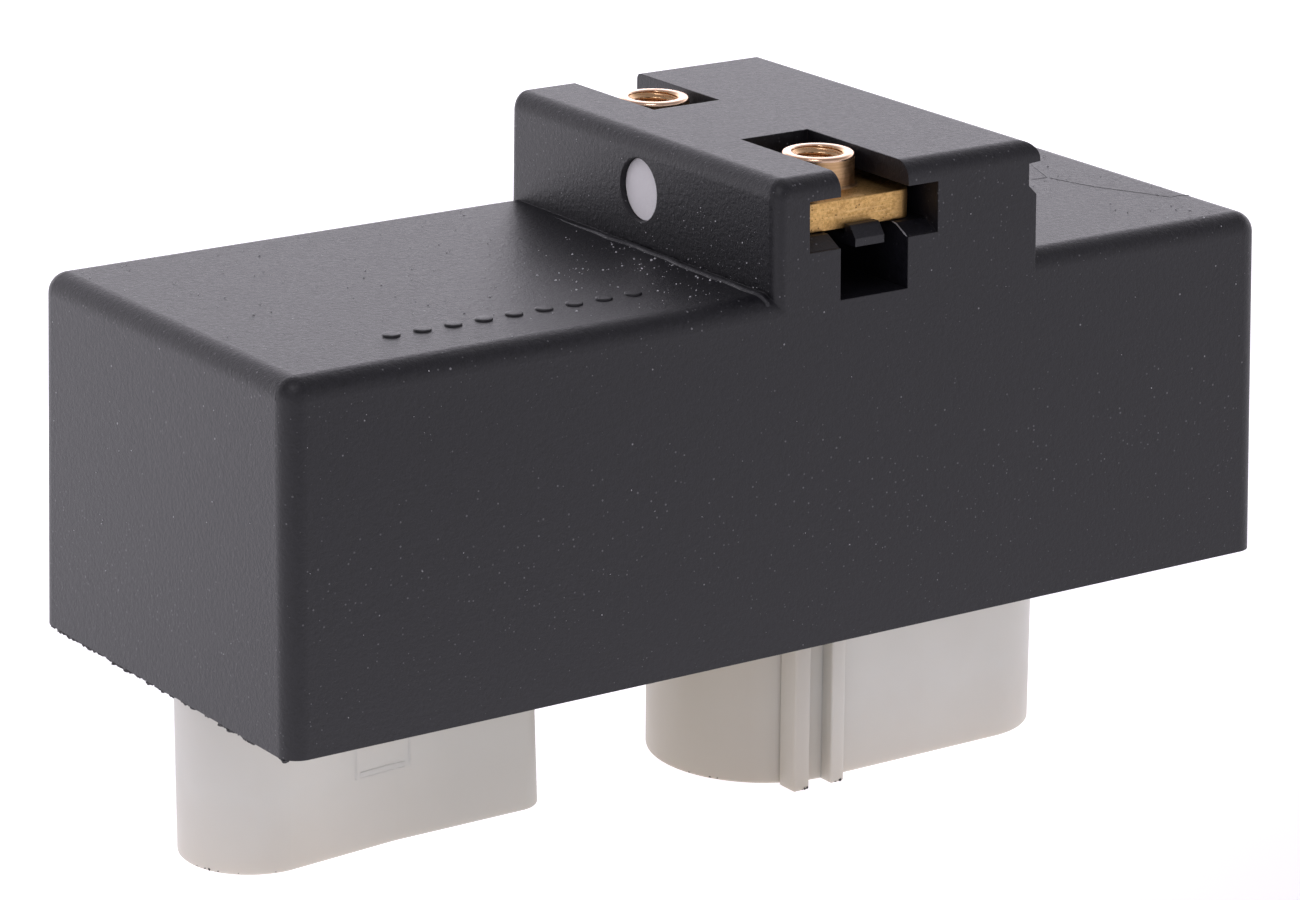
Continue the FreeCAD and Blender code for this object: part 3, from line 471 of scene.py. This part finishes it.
# ------------------------------------------------------------------ threaded nuts, with real M5 threads
def nut(name, node, body):
    lo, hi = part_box(node)
    x0, y0, z0 = (v / MM for v in lo)
    x1, y1, z1 = (v / MM for v in hi)
    cx, cy, half = (x0 + x1) / 2, (y0 + y1) / 2, (x1 - x0) / 2
    n = 192
    ft = z0 + 2.8
    ang = [2 * math.pi * (i + 0.5) / n for i in range(n)]

    def square(h, r):
        """Rounded square met by evenly spaced rays."""
        out = []
        for t in ang:
            c, s = abs(math.cos(t)), abs(math.sin(t))
            e = h - r
            d = h / max(c, s)
            if d * c > e and d * s > e:
                k = e * (c + s)
                d = k + math.sqrt(max(0.0, k * k - (2 * e * e - r * r)))
            out.append((cx + d * math.cos(t), cy + d * math.sin(t)))
        return out

    def ring(r, z):
        return [(cx + r * math.cos(t), cy + r * math.sin(t), z) for t in ang]

    seed = Vector((cx, cy, 3.7))

    def rough_side(h, r, z):
        """Sawn side: faint waviness kept inside the CAD flange."""
        out = []
        for x, y in square(h, r):
            k = 0.010 + 0.012 * noise.noise(Vector((x * 1.3, y * 1.3, z * 2.2)) + seed)
            out.append((cx + (x - cx) * (1 - k / half), cy + (y - cy) * (1 - k / half), z))
        return out

    rings, mats = [], []

    def add(r, m):
        rings.append(r)
        mats.append(m)

    b = 0.13
    for r in (2.5, 3.2, 4.4):
        add(ring(r, z0), 0)
    add(lift(square(half - 1.0, 0.9), z0), 0)
    add(lift(square(half - b, 1.3 - b), z0), 0)
    for k in (1, 2):
        a = math.radians(30 * k)
        add(rough_side(half - b + b * math.sin(a), 1.3, z0 + b - b * math.cos(a)), 0)
    for k in range(9):
        add(rough_side(half, 1.3, z0 + b + (ft - z0 - 2 * b) * k / 8.0), 0)
    for k in (2, 1):
        a = math.radians(30 * k)
        add(rough_side(half - b + b * math.sin(a), 1.3, ft - b + b * math.cos(a)), 0)
    add(lift(square(half - b, 1.3 - b), ft), 0)
    add(lift(square(half - 1.0, 0.9), ft), 0)
    add(ring(4.6, ft), 0)
    add(ring(3.95, ft), 0)
    add(ring(3.72, ft), 1)
    for k in (1, 2, 3):
        a = math.radians(22.5 * k)
        add(ring(3.72 - 0.32 * math.sin(a), ft + 0.32 - 0.32 * math.cos(a)), 1)
    neck_end = z1 - 0.38
    for k in range(7):
        add(ring(3.395, ft + 0.34 + (neck_end - ft - 0.34) * k / 6.0), 1)
    add(ring(3.40, neck_end + 0.02), 2)
    for r, z in ((3.40, z1 - 0.30), (3.375, z1 - 0.20), (3.31, z1 - 0.08), (3.20, z1 - 0.015), (3.08, z1), (2.80, z1),
                 (2.60, z1), (2.52, z1 - 0.03)):
        add(ring(r, z), 2)
    # The thread: minor radius 2.1, crests cut 0.42 deep at a pitch of 0.8, running out into both lead-ins.
    step = 0.05
    count = int((z1 - z0 - 0.1) / step)
    for k in range(1, count):
        z = z1 - 0.05 - step * k
        top, low = z1 - z, z - z0
        r = []
        for t in ang:
            s = ((z / 0.8) - t / (2 * math.pi)) % 1.0
            cut = 0.40 * (0.5 - 0.5 * math.cos(2 * math.pi * s)) ** 0.8
            q = 2.1 + cut
            q = max(q, 2.50 - top * 0.9, 2.50 - low * 0.9)
            r.append((cx + q * math.cos(t), cy + q * math.sin(t), z))
        add(r, 3)
    sh = Shape(name)
    sh.rings(rings, mats, loop=True)
    return sh.make([M["nut_brass"], M["brass_neck"], M["brass_rim"], M["brass_thread"]], body, 40.0,
                   replaces=(node,))


nut("threaded_nut_front", "nut_front", "front_nut")
nut("threaded_nut_rear", "nut_rear", "rear_nut")

# ------------------------------------------------------------------ connector headers with smooth walls and rounded lips
WALL, LIP, CEIL, HEAD = 1.6, 0.32, 18.0, 21.7


def header(name, node, pts, radii, extras, draft=0.0):
    """draft: how far the right-hand end leans in by the time the wall reaches the rim."""
    sh = Shape(name)
    rings = []
    far = max(x for x, y in pts)

    def outer(z):
        return [(x - draft * z / 18.0 if x == far else x, y) for x, y in pts]
    rings.append(lift(rounded(outer(18.6), radii, 0.0), HEAD))
    for z in (18.6, 14.0, 9.0, 4.0):
        rings.append(lift(rounded(outer(z), radii, 0.0), z))
    for k in range(6):
        a = math.radians(18 * k)
        rings.append(lift(rounded(pts, radii, LIP * (1 - math.cos(a))), LIP * (1 - math.sin(a))))
    for k in range(6):
        a = math.radians(18 * (5 - k))
        rings.append(lift(rounded(pts, radii, WALL - LIP * (1 - math.cos(a))), LIP * (1 - math.sin(a))))
    for z in (4.0, 11.0, CEIL - 0.5):
        rings.append(lift(rounded(pts, radii, WALL), z))
    for k in (1, 2, 3):
        a = math.radians(30 * k)
        rings.append(lift(rounded(pts, radii, WALL + 0.5 * (1 - math.cos(a))), CEIL - 0.5 + 0.5 * math.sin(a)))
    sh.rings(rings, 0, cap0=True, cap1=True)
    for e in extras:
        e(sh)
    return sh.make([M["natural_plastic"]], "module", 35.0, replaces=(node,))


def bar(x, y, z, r=0.18):
    """Upright bar with rounded edges and ends, as a shell of a moulding."""
    def add(sh):
        pts = [(x[0], y[0]), (x[1], y[0]), (x[1], y[1]), (x[0], y[1])]
        rr = [r] * 4
        rings = []
        for k in range(4):
            a = math.radians(30 * k)
            rings.append(lift(rounded(pts, rr, r * (1 - math.sin(a)) * 0.98, 22.5), z[0] + r * (1 - math.cos(a))))
        for k in range(4):
            a = math.radians(30 * (3 - k))
            rings.append(lift(rounded(pts, rr, r * (1 - math.sin(a)) * 0.98, 22.5), z[1] - r * (1 - math.cos(a))))
        sh.rings(rings, 0, cap0=True, cap1=True)
    return add


def wall_y(x):
    """The power header's front wall, which steps out towards its left-hand end."""
    return -4.5 - 1.1 * min(1.0, max(0.0, (-33.0 - x) / 11.9))


def frame_bars(x, z, t, proud):
    """Faint raised frame that follows the front wall."""
    def add(sh):
        for a, b, c, d in ((x[0], x[0] + t, z[0], z[1]), (x[1] - t, x[1], z[0], z[1]), (x[0] + t, x[1] - t, z[0], z[0] + t)):
            xs = [a] + ([-33.0] if a < -33.0 < b else []) + [b]
            rings = []
            for zz, k in ((c, 0.25), (c + 0.06, 0.8), (c + 0.14, 1.0), (d - 0.14, 1.0), (d - 0.06, 0.8), (d, 0.25)):
                front = []
                for i, q in enumerate(xs):
                    edge = i in (0, len(xs) - 1)
                    inset = 0.24 * (1 if i == 0 else -1) if edge else 0.0
                    if i == 0:
                        front.append((q, wall_y(q) + 0.02, zz))
                    front.append((q + inset, wall_y(q) - proud * k * (0.5 if a == x[0] + t else 1.0), zz))
                    if i == len(xs) - 1:
                        front.append((q, wall_y(q) + 0.02, zz))
                back = [(xs[-1], wall_y(xs[-1]) + 0.5, zz), (xs[0], wall_y(xs[0]) + 0.5, zz)]
                rings.append(front + back)
            sh.rings(rings, 0, cap0=True, cap1=True)
    return add


c_lo, c_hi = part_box("control_header")
cX0, cX1 = -0.7, 39.0
cY0, cY1 = -13.0, 9.6
control_pts = [(cX0, cY0), (cX1, cY0), (cX1, cY1), (cX0, cY1)]
control_r = [11.2, 8.0, 8.0, 11.2]
header("control_header_shell", "control_header", control_pts, control_r, [
    bar((cX0 - 1.5, cX1 + 1.5), (cY0 - 1.5, cY1 + 1.5), (21.2, 23.2), 0.5),
    bar((5.3, 7.1), (cY0 - 1.6, cY0 + 0.9), (0.0, 18.9), 0.2),
    bar((9.65, 11.2), (cY0 - 1.6, cY0 + 0.9), (0.0, 18.9), 0.2),
    bar((cX1 - WALL - 0.9, cX1 - WALL + 0.3), (-5.2, -3.6), (1.5, 18.3), 0.2),
    bar((cX1 - WALL - 0.9, cX1 - WALL + 0.3), (0.2, 1.8), (1.5, 18.3), 0.2),
])
pX0, pX1 = -51.9, -16.2
pY0, pY1, pY2, pY3, pA, pB = -5.6, 8.4, -4.5, 7.3, -44.9, -33.0
power_pts = [(pX0, pY0), (pA, pY0), (pB, pY2), (pX1, pY2), (pX1, pY3), (pB, pY3), (pA, pY1), (pX0, pY1)]
power_r = [6.9, 0.5, 3.0, 2.6, 2.6, 3.0, 0.5, 6.9]
header("power_header_shell", "power_header", power_pts, power_r, [
    bar((pX0 - 0.8, pX1 + 1.6), (pY0 - 1.7, pY1 + 1.7), (21.2, 23.2), 0.5),
    bar((pX1 - WALL - 0.9, pX1 - WALL + 0.3), (0.4, 2.4), (1.5, 18.3), 0.2),
], draft=0.55)
latch_frame = Shape("latch_frame")
frame_bars((-37.75, -31.2), (7.2, 18.4), 0.6, 0.007)(latch_frame)
latch_frame.make([M["natural_plastic"]], "module", 35.0)

# ------------------------------------------------------------------ moulding details on the housing
# Level of the box's top at a place, down its front rounding too.
BOX_TOP = 52.07


def top_level(y):
    edge = 22.35 - 2.0
    d = abs(y) - edge
    if d <= 0:
        return BOX_TOP
    return BOX_TOP - 2.0 + math.sqrt(max(0.0, 4.0 - d * d))


flash = Shape("parting_flash")
path, widths = [], []
steps = 190
for i in range(steps + 1):
    y = -22.0 + 36.0 * i / steps
    w = noise.noise(Vector((y * 0.30, 1.7, 0.2)))
    w2 = noise.noise(Vector((y * 1.3, 5.2, 0.9)))
    w3 = noise.noise(Vector((y * 3.7, 2.2, 7.1)))
    # The ridge steps sideways in places, as a worn tool edge leaves it.
    jog = 0.22 * (1 / (1 + math.exp(-(y + 7.5) / 0.35)) - 1 / (1 + math.exp(-(y - 1.5) / 0.6)))
    x = -4.02 + 0.26 * w + 0.10 * w2 + 0.03 * w3 + jog
    # At the front it stands off the rounding as a small spur.
    fall = max(0.0, -20.35 - y)
    x += 0.22 * min(1.0, max(0.0, (-18.5 - y) / 3.0))
    sink = 0.24 * (1.0 - min(1.0, (steps - i) / 50.0))
    path.append((x, y, max(top_level(y), BOX_TOP - 0.24 * fall * fall) - 0.02 - sink))
    fade = min(1.0, (i + 3) / 8.0, (steps - i) / 60.0 + 0.02)
    widths.append(max(0.12, fade * (1.05 + 0.45 * w2 + 0.2 * w3)))
flash.sweep(path, [(-0.40, -0.70), (0.40, -0.70), (0.39, -0.04), (0.34, 0.09), (0.23, 0.20), (0.08, 0.255), (-0.08, 0.255),
                   (-0.23, 0.20), (-0.34, 0.09), (-0.39, -0.04)], widths=widths)
flash.make([M["flash_plastic"]], "module", 75.0)

# A sliver of torn moulding on the window's upper right edge; its pale colour is a painted highlight along that edge.
sliver = Shape("window_edge_sliver")
sliver.sweep([(11.60, -19.9, 56.56), (11.61, -20.5, 56.47), (11.62, -21.1, 56.15), (11.63, -21.7, 55.83), (11.64, -22.05, 55.62)],
             [(-0.07, -0.03), (0.07, -0.03), (0.05, 0.05), (-0.05, 0.05)], widths=[0.4, 1.2, 0.8, 1.3, 0.5])
sliver.make([M["chip_painted_highlight"]], "module", 60.0)

# A row of equal round pips.
marks = Shape("moulded_pips")
for k in range(9):
    cx, cy = -39.0 + 3.2 * k, -14.3
    rings = []
    for r, h in ((0.82, -0.10), (0.82, 0.08), (0.80, 0.13), (0.74, 0.17), (0.62, 0.19), (0.34, 0.20)):
        rings.append([(cx + r * math.cos(2 * math.pi * i / 40), cy + r * math.sin(2 * math.pi * i / 40), BOX_TOP + h)
                      for i in range(40)])
    marks.rings(rings, 0, cap0=True, cap1=True)
marks.make([M["housing_plastic"]], "module", 50.0)

# Thin scratches on the right-hand top.
scratch = Shape("surface_scratches")
thin = [(-0.045, -0.03), (0.045, -0.03), (0.0, 0.022)]
for line in ([(47.65, 4.75), (45.7, -0.2), (43.9, 0.05)],
             [(45.8, -0.5), (47.3, -5.8), (49.1, -9.3), (50.9, -13.0), (52.2, -12.9), (52.95, -13.36)]):
    pts = []
    for (ax, ay), (bx, by) in zip(line, line[1:]):
        for j in range(12):
            f = j / 12.0
            wob = 0.04 * noise.noise(Vector((ax + f * 3, ay + f * 7, 2.0)))
            pts.append((ax + (bx - ax) * f + wob, ay + (by - ay) * f + wob, BOX_TOP))
    pts.append((*line[-1], BOX_TOP))
    m = len(pts)
    scratch.sweep(pts, thin, widths=[0.45 + 1.1 * math.sin(math.pi * (i + 0.5) / m) *
                                     (0.75 + 0.5 * noise.noise(Vector((i * 0.6, 3.3, 1.0)))) for i in range(m)])
scratch.make([M["scratch_plastic"]], "module", 60.0)

# ------------------------------------------------------------------ settled dust, as small lumps on the shell
shell = frame["nodes"]["housing"]
bpy.context.view_layer.update()
box_lo, box_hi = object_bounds()
dust = Shape("settled_dust")
dust_rng = random.Random(11)


def speck(origin, way, size):
    hit, at, normal, index = shell.ray_cast(Vector(origin) * MM, Vector(way))
    if not hit:
        return
    c = (at + normal * size * 0.35 * MM) / MM
    reach = size * 1.9
    for k in range(3):
        if c[k] - reach < box_lo[k] / MM or c[k] + reach > box_hi[k] / MM:
            return
    dust.blob(tuple(c), size, dust_rng, 0.9)


def grit(fine=0.035, coarse=0.065):
    return fine + coarse * dust_rng.random() ** 3


for i in range(85):
    # On the box's top, thickest along the boss's foot.
    y = -20.0 + 24.0 * (dust_rng.random() + dust_rng.random()) / 2
    speck((-4.3 - 13.0 * dust_rng.random() ** 2.2, y, 80), (0, 0, -1), grit())
for i in range(52):
    # Low on the boss's left face.
    speck((-30, -20.5 + 22.0 * dust_rng.random(), 52.2 + 6.0 * dust_rng.random() ** 1.7), (1, 0, 0), grit(0.028, 0.045))
for i in range(34):
    speck((-30, -20.0 + 40.0 * dust_rng.random(), 53.0 + 8.5 * dust_rng.random()), (1, 0, 0), grit(0.025, 0.035))
for i in range(150):
    speck((-53 + 48.0 * dust_rng.random(), -21 + 41.0 * dust_rng.random(), 80), (0, 0, -1), grit(0.035, 0.05))
for i in range(60):
    speck((42 + 11.0 * dust_rng.random(), -21 + 41.0 * dust_rng.random(), 80), (0, 0, -1), grit(0.035, 0.05))
for i in range(46):
    speck((-54 + 107.0 * dust_rng.random(), -60, 24 + 36.0 * dust_rng.random()), (0, 1, 0), grit(0.03, 0.035))
for i in range(22):
    speck((-90, -21 + 42.0 * dust_rng.random(), 24 + 26.0 * dust_rng.random()), (1, 0, 0), grit(0.03, 0.035))
dust.make([M["dust"]], "module", 80.0)

# ------------------------------------------------------------------ sealant: a lumpy bead under the rim, and crumbs of it
rng = random.Random(20)
s_lo, s_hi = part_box("perimeter_sealant")
sx, sy = s_hi.x / MM - 0.42, s_hi.y / MM - 0.42
seal_pts = [(-sx, -sy), (sx, -sy), (sx, sy), (-sx, sy)]
loop = rounded(seal_pts, [1.2] * 4, 0.0, 15)
dense = []
for i in range(len(loop)):
    a, b = loop[i], loop[(i + 1) % len(loop)]
    k = max(1, int(math.hypot(b[0] - a[0], b[1] - a[1]) / 0.7))
    for j in range(k):
        dense.append((a[0] + (b[0] - a[0]) * j / k, a[1] + (b[1] - a[1]) * j / k))
bead = Shape("sealant_bead")
rings = []
n = len(dense)
for i, (x, y) in enumerate(dense):
    a, b = dense[i - 1], dense[(i + 1) % n]
    d = Vector((b[0] - a[0], b[1] - a[1])).normalized()
    side = Vector((-d.y, d.x))
    ring = []
    for k in range(12):
        t = 2 * math.pi * k / 12
        q = Vector((x, y, 0)) * 0.45
        r = 0.36 + 0.09 * noise.noise(q * 1.2 + Vector((0, 0, math.sin(t)))) + 0.04 * noise.noise(q * 4 + Vector((k, 0, 0)))
        u, w = r * math.cos(t), r * math.sin(t)
        ring.append((x + side.x * u, y + side.y * u, min(18.98, 18.66 + w * (0.95 if w > 0 else 1.05))))
    rings.append(ring)
bead.rings(rings, 0, loop=True)
bead.make([M["sealant"]], "module", 70.0, replaces=("perimeter_sealant",))

crumbs = Shape("sealant_crumbs")
for i in range(420):
    y = -21.6 + 43.2 * rng.random()
    size = 0.09 + 0.24 * rng.random() ** 2.2
    if noise.noise(Vector((y * 0.5, 0.3, 4.4))) + 0.3 * (y - 2.0) / 20.0 < -0.22:
        continue
    crumbs.blob((-54.98 + size * 1.6 + 0.10 * rng.random(), y, 18.0 - size * (0.4 + 0.9 * rng.random())), size, rng, 0.9)
for i in range(26):
    x = -53.2 + 9.0 * rng.random() ** 2
    crumbs.blob((x, -22.78 + 0.10 * rng.random(), 18.0), 0.05 + 0.08 * rng.random(), rng, 0.8)
for i in range(40):
    x = -44.0 + 96.0 * rng.random()
    crumbs.blob((x, -22.80 + 0.08 * rng.random(), 18.0), 0.03 + 0.05 * rng.random(), rng, 0.8)
# Dark smears at the ends of the ribs and on the lips.
for x, y, z, s in ((6.55, -14.55, 0.12, 0.16), (6.85, -14.5, 0.16, 0.20), (7.02, -14.25, 0.16, 0.13), (10.2, -14.55, 0.10, 0.12),
                   (10.75, -14.5, 0.16, 0.19), (11.08, -14.3, 0.18, 0.15), (6.3, -14.55, 0.10, 0.10)):
    crumbs.blob((x, y, z + 0.05), s * 0.9, rng, 0.8)
lip = rounded(power_pts, power_r, 0.06, 4.0)
for i, s in ((3, 0.09), (5, 0.11), (6, 0.13), (8, 0.09), (12, 0.07), (19, 0.07), (21, 0.05)):
    crumbs.blob((lip[i][0], lip[i][1], 0.24), s, rng, 0.8)
lip = rounded(control_pts, control_r, 0.06, 4.0)
for i, s in ((4, 0.09), (7, 0.11), (8, 0.08), (11, 0.05), (16, 0.06)):
    crumbs.blob((lip[i][0], lip[i][1], 0.24), s, rng, 0.8)
crumbs.v = [(max(x, -54.998), y, max(z, 0.004)) for x, y, z in crumbs.v]
crumbs.make([M["sealant"]], "module", 70.0)

# ------------------------------------------------------------------ ejector-pin marks on the base plate's lower face
pins = Shape("ejector_marks")
for x, y in ((-50.0, -14.5), (-50.0, 15.5), (-8.5, -14.5), (-8.5, 14.5), (47.5, -14.5), (47.5, 14.5), (20.0, 15.5), (-30.0, -14.0),
             (-30.0, 15.0)):
    rings = []
    for r, z in ((1.55, 19.03), (1.55, 18.97), (1.50, 18.93), (1.42, 18.93), (1.37, 18.96), (1.35, 19.03)):
        rings.append([(x + r * math.cos(2 * math.pi * i / 40), y + r * math.sin(2 * math.pi * i / 40), z) for i in range(40)])
    pins.rings(rings, 0, loop=True)
pins.make([M["natural_plastic"]], "module", 40.0)

# ------------------------------------------------------------------ camera, the angle worked out for this view
cam_data = bpy.data.cameras.new("camera")
cam = bpy.data.objects.new("camera", cam_data)
bpy.context.scene.collection.objects.link(cam)
az, el, roll = math.radians(-34.3622), math.radians(17.0101), math.radians(0.3846)
back = Vector((math.sin(az) * math.cos(el), -math.cos(az) * math.cos(el), math.sin(el)))
right = Vector((math.cos(az), math.sin(az), 0))
up = back.cross(right)
right2 = right * math.cos(roll) + up * math.sin(roll)
up2 = -right * math.sin(roll) + up * math.cos(roll)
place = Vector((-257.36, -373.98, 170.27)) * MM
cam.matrix_world = Matrix(((right2.x, up2.x, back.x, place.x), (right2.y, up2.y, back.y, place.y),
                           (right2.z, up2.z, back.z, place.z), (0, 0, 0, 1)))
cam_data.sensor_width = 36
cam_data.lens = 4973.87 * 36 / 1300
cam_data.clip_start, cam_data.clip_end = 0.01, 20
bpy.context.scene.camera = cam

# ------------------------------------------------------------------ studio
scene = bpy.context.scene
scene.view_settings.view_transform = "Standard"
scene.view_settings.look = "None"
scene.view_settings.exposure = 0.0
scene.view_settings.gamma = 1.0
scene.render.film_transparent = False

floor_t = Tree("studio_floor")
fn = floor_t.noise(8, 2, 0.5)
floor_t.finish(floor_t.mix(fn, (0.80, 0.80, 0.80), (0.82, 0.82, 0.82)), 0.9)
floor_t.b.inputs["Specular IOR Level"].default_value = 0.1
# The floor glows: painted light, brightest behind the object and dimmer ahead of it and to its right; the glow also
# washes out the object's shadow on the floor.
floor_t.b.inputs["Emission Color"].default_value = (1.0, 0.965, 1.05, 1.0)
fx, fy, fz = floor_t.sep()
behind = floor_t.math("ADD", floor_t.math("MULTIPLY", fx, -0.57), floor_t.math("MULTIPLY", fy, 0.82))
ahead = floor_t.math("ADD", floor_t.math("MULTIPLY", fx, -0.83), floor_t.math("MULTIPLY", fy, -0.56))
right_of = floor_t.math("ADD", floor_t.math("MULTIPLY", fx, 0.57), floor_t.math("MULTIPLY", fy, -0.82))
glow = floor_t.math("ADD", floor_t.span(behind, 0.06, 0.20, 0.76, 1.22), floor_t.span(ahead, 0.07, 0.17, 0.0, -0.40))
glow = floor_t.math("ADD", glow, floor_t.span(right_of, 0.03, 0.08, 0.0, -0.31))
floor_t.link(glow, floor_t.b.inputs["Emission Strength"])
# Clear when seen from underneath, so the connectors can be looked at from below.
facing = floor_t.t.nodes.new("ShaderNodeNewGeometry")
clear = floor_t.t.nodes.new("ShaderNodeBsdfTransparent")
either = floor_t.t.nodes.new("ShaderNodeMixShader")
floor_out = [n for n in floor_t.t.nodes if n.type == "OUTPUT_MATERIAL"][0]
floor_t.link(facing.outputs["Backfacing"], either.inputs[0])
floor_t.link(floor_t.b.outputs[0], either.inputs[1])
floor_t.link(clear.outputs[0], either.inputs[2])
floor_t.link(either.outputs[0], floor_out.inputs["Surface"])
me = bpy.data.meshes.new("studio_floor")
s = 4.0
me.from_pydata([(-s, -s, -0.00005), (s, -s, -0.00005), (s, s, -0.00005), (-s, s, -0.00005)], [], [(0, 1, 2, 3)])
floor = bpy.data.objects.new("studio_floor", me)
floor.data.materials.append(floor_t.m)
scene.collection.objects.link(floor)

# A bright backdrop low down behind, dimmer overhead and in front.
world = bpy.data.worlds.new("studio")
scene.world = world
world.use_nodes = True
wt = world.node_tree
wt.nodes.clear()
wo = wt.nodes.new("ShaderNodeOutputWorld")
bg = wt.nodes.new("ShaderNodeBackground")
wt.links.new(bg.outputs[0], wo.inputs[0])
way = wt.nodes.new("ShaderNodeTexCoord")
parts = wt.nodes.new("ShaderNodeSeparateXYZ")
wt.links.new(way.outputs["Generated"], parts.inputs[0])
ramp = wt.nodes.new("ShaderNodeValToRGB")
ramp.color_ramp.interpolation = "B_SPLINE"
stops = ((0.0, 0.97), (0.28, 0.97), (0.44, 0.66), (0.62, 0.33), (1.0, 0.40))
while len(ramp.color_ramp.elements) < len(stops):
    ramp.color_ramp.elements.new(0.5)
for e, (p, v) in zip(ramp.color_ramp.elements, stops):
    e.position = p
    e.color = (v, v * 0.963, v * 1.055, 1.0)
wt.links.new(parts.outputs[2], ramp.inputs[0])
front = wt.nodes.new("ShaderNodeMapRange")
front.clamp = True
for k, v in (("From Min", 0.2), ("From Max", 0.93), ("To Min", 0.80), ("To Max", 2.42)):
    front.inputs[k].default_value = v
# Brightest straight behind the object, as this camera stands to it; the lamps stay put when the camera moves.
toward = wt.nodes.new("ShaderNodeVectorMath")
toward.operation = "DOT_PRODUCT"
toward.inputs[1].default_value = (0.56, 0.82, 0.0)
wt.links.new(way.outputs["Generated"], toward.inputs[0])
wt.links.new(toward.outputs["Value"], front.inputs["Value"])
wt.links.new(ramp.outputs[0], bg.inputs["Color"])
wt.links.new(front.outputs["Result"], bg.inputs["Strength"])


def area(name, loc, aim, size, power, color=(1, 1, 1)):
    d = bpy.data.lights.new(name, "AREA")
    d.shape = "RECTANGLE"
    d.size, d.size_y = size
    d.energy = power
    d.color = color
    o = bpy.data.objects.new(name, d)
    scene.collection.objects.link(o)
    o.location = loc
    o.rotation_mode = "QUATERNION"
    o.rotation_quaternion = (Vector(aim) - Vector(loc)).to_track_quat("-Z", "Y")
    return o


area("overhead", (-0.30, -0.25, 0.70), (-0.03, 0, 0.03), (0.26, 0.26), 0.9, (1.0, 0.97, 1.04))
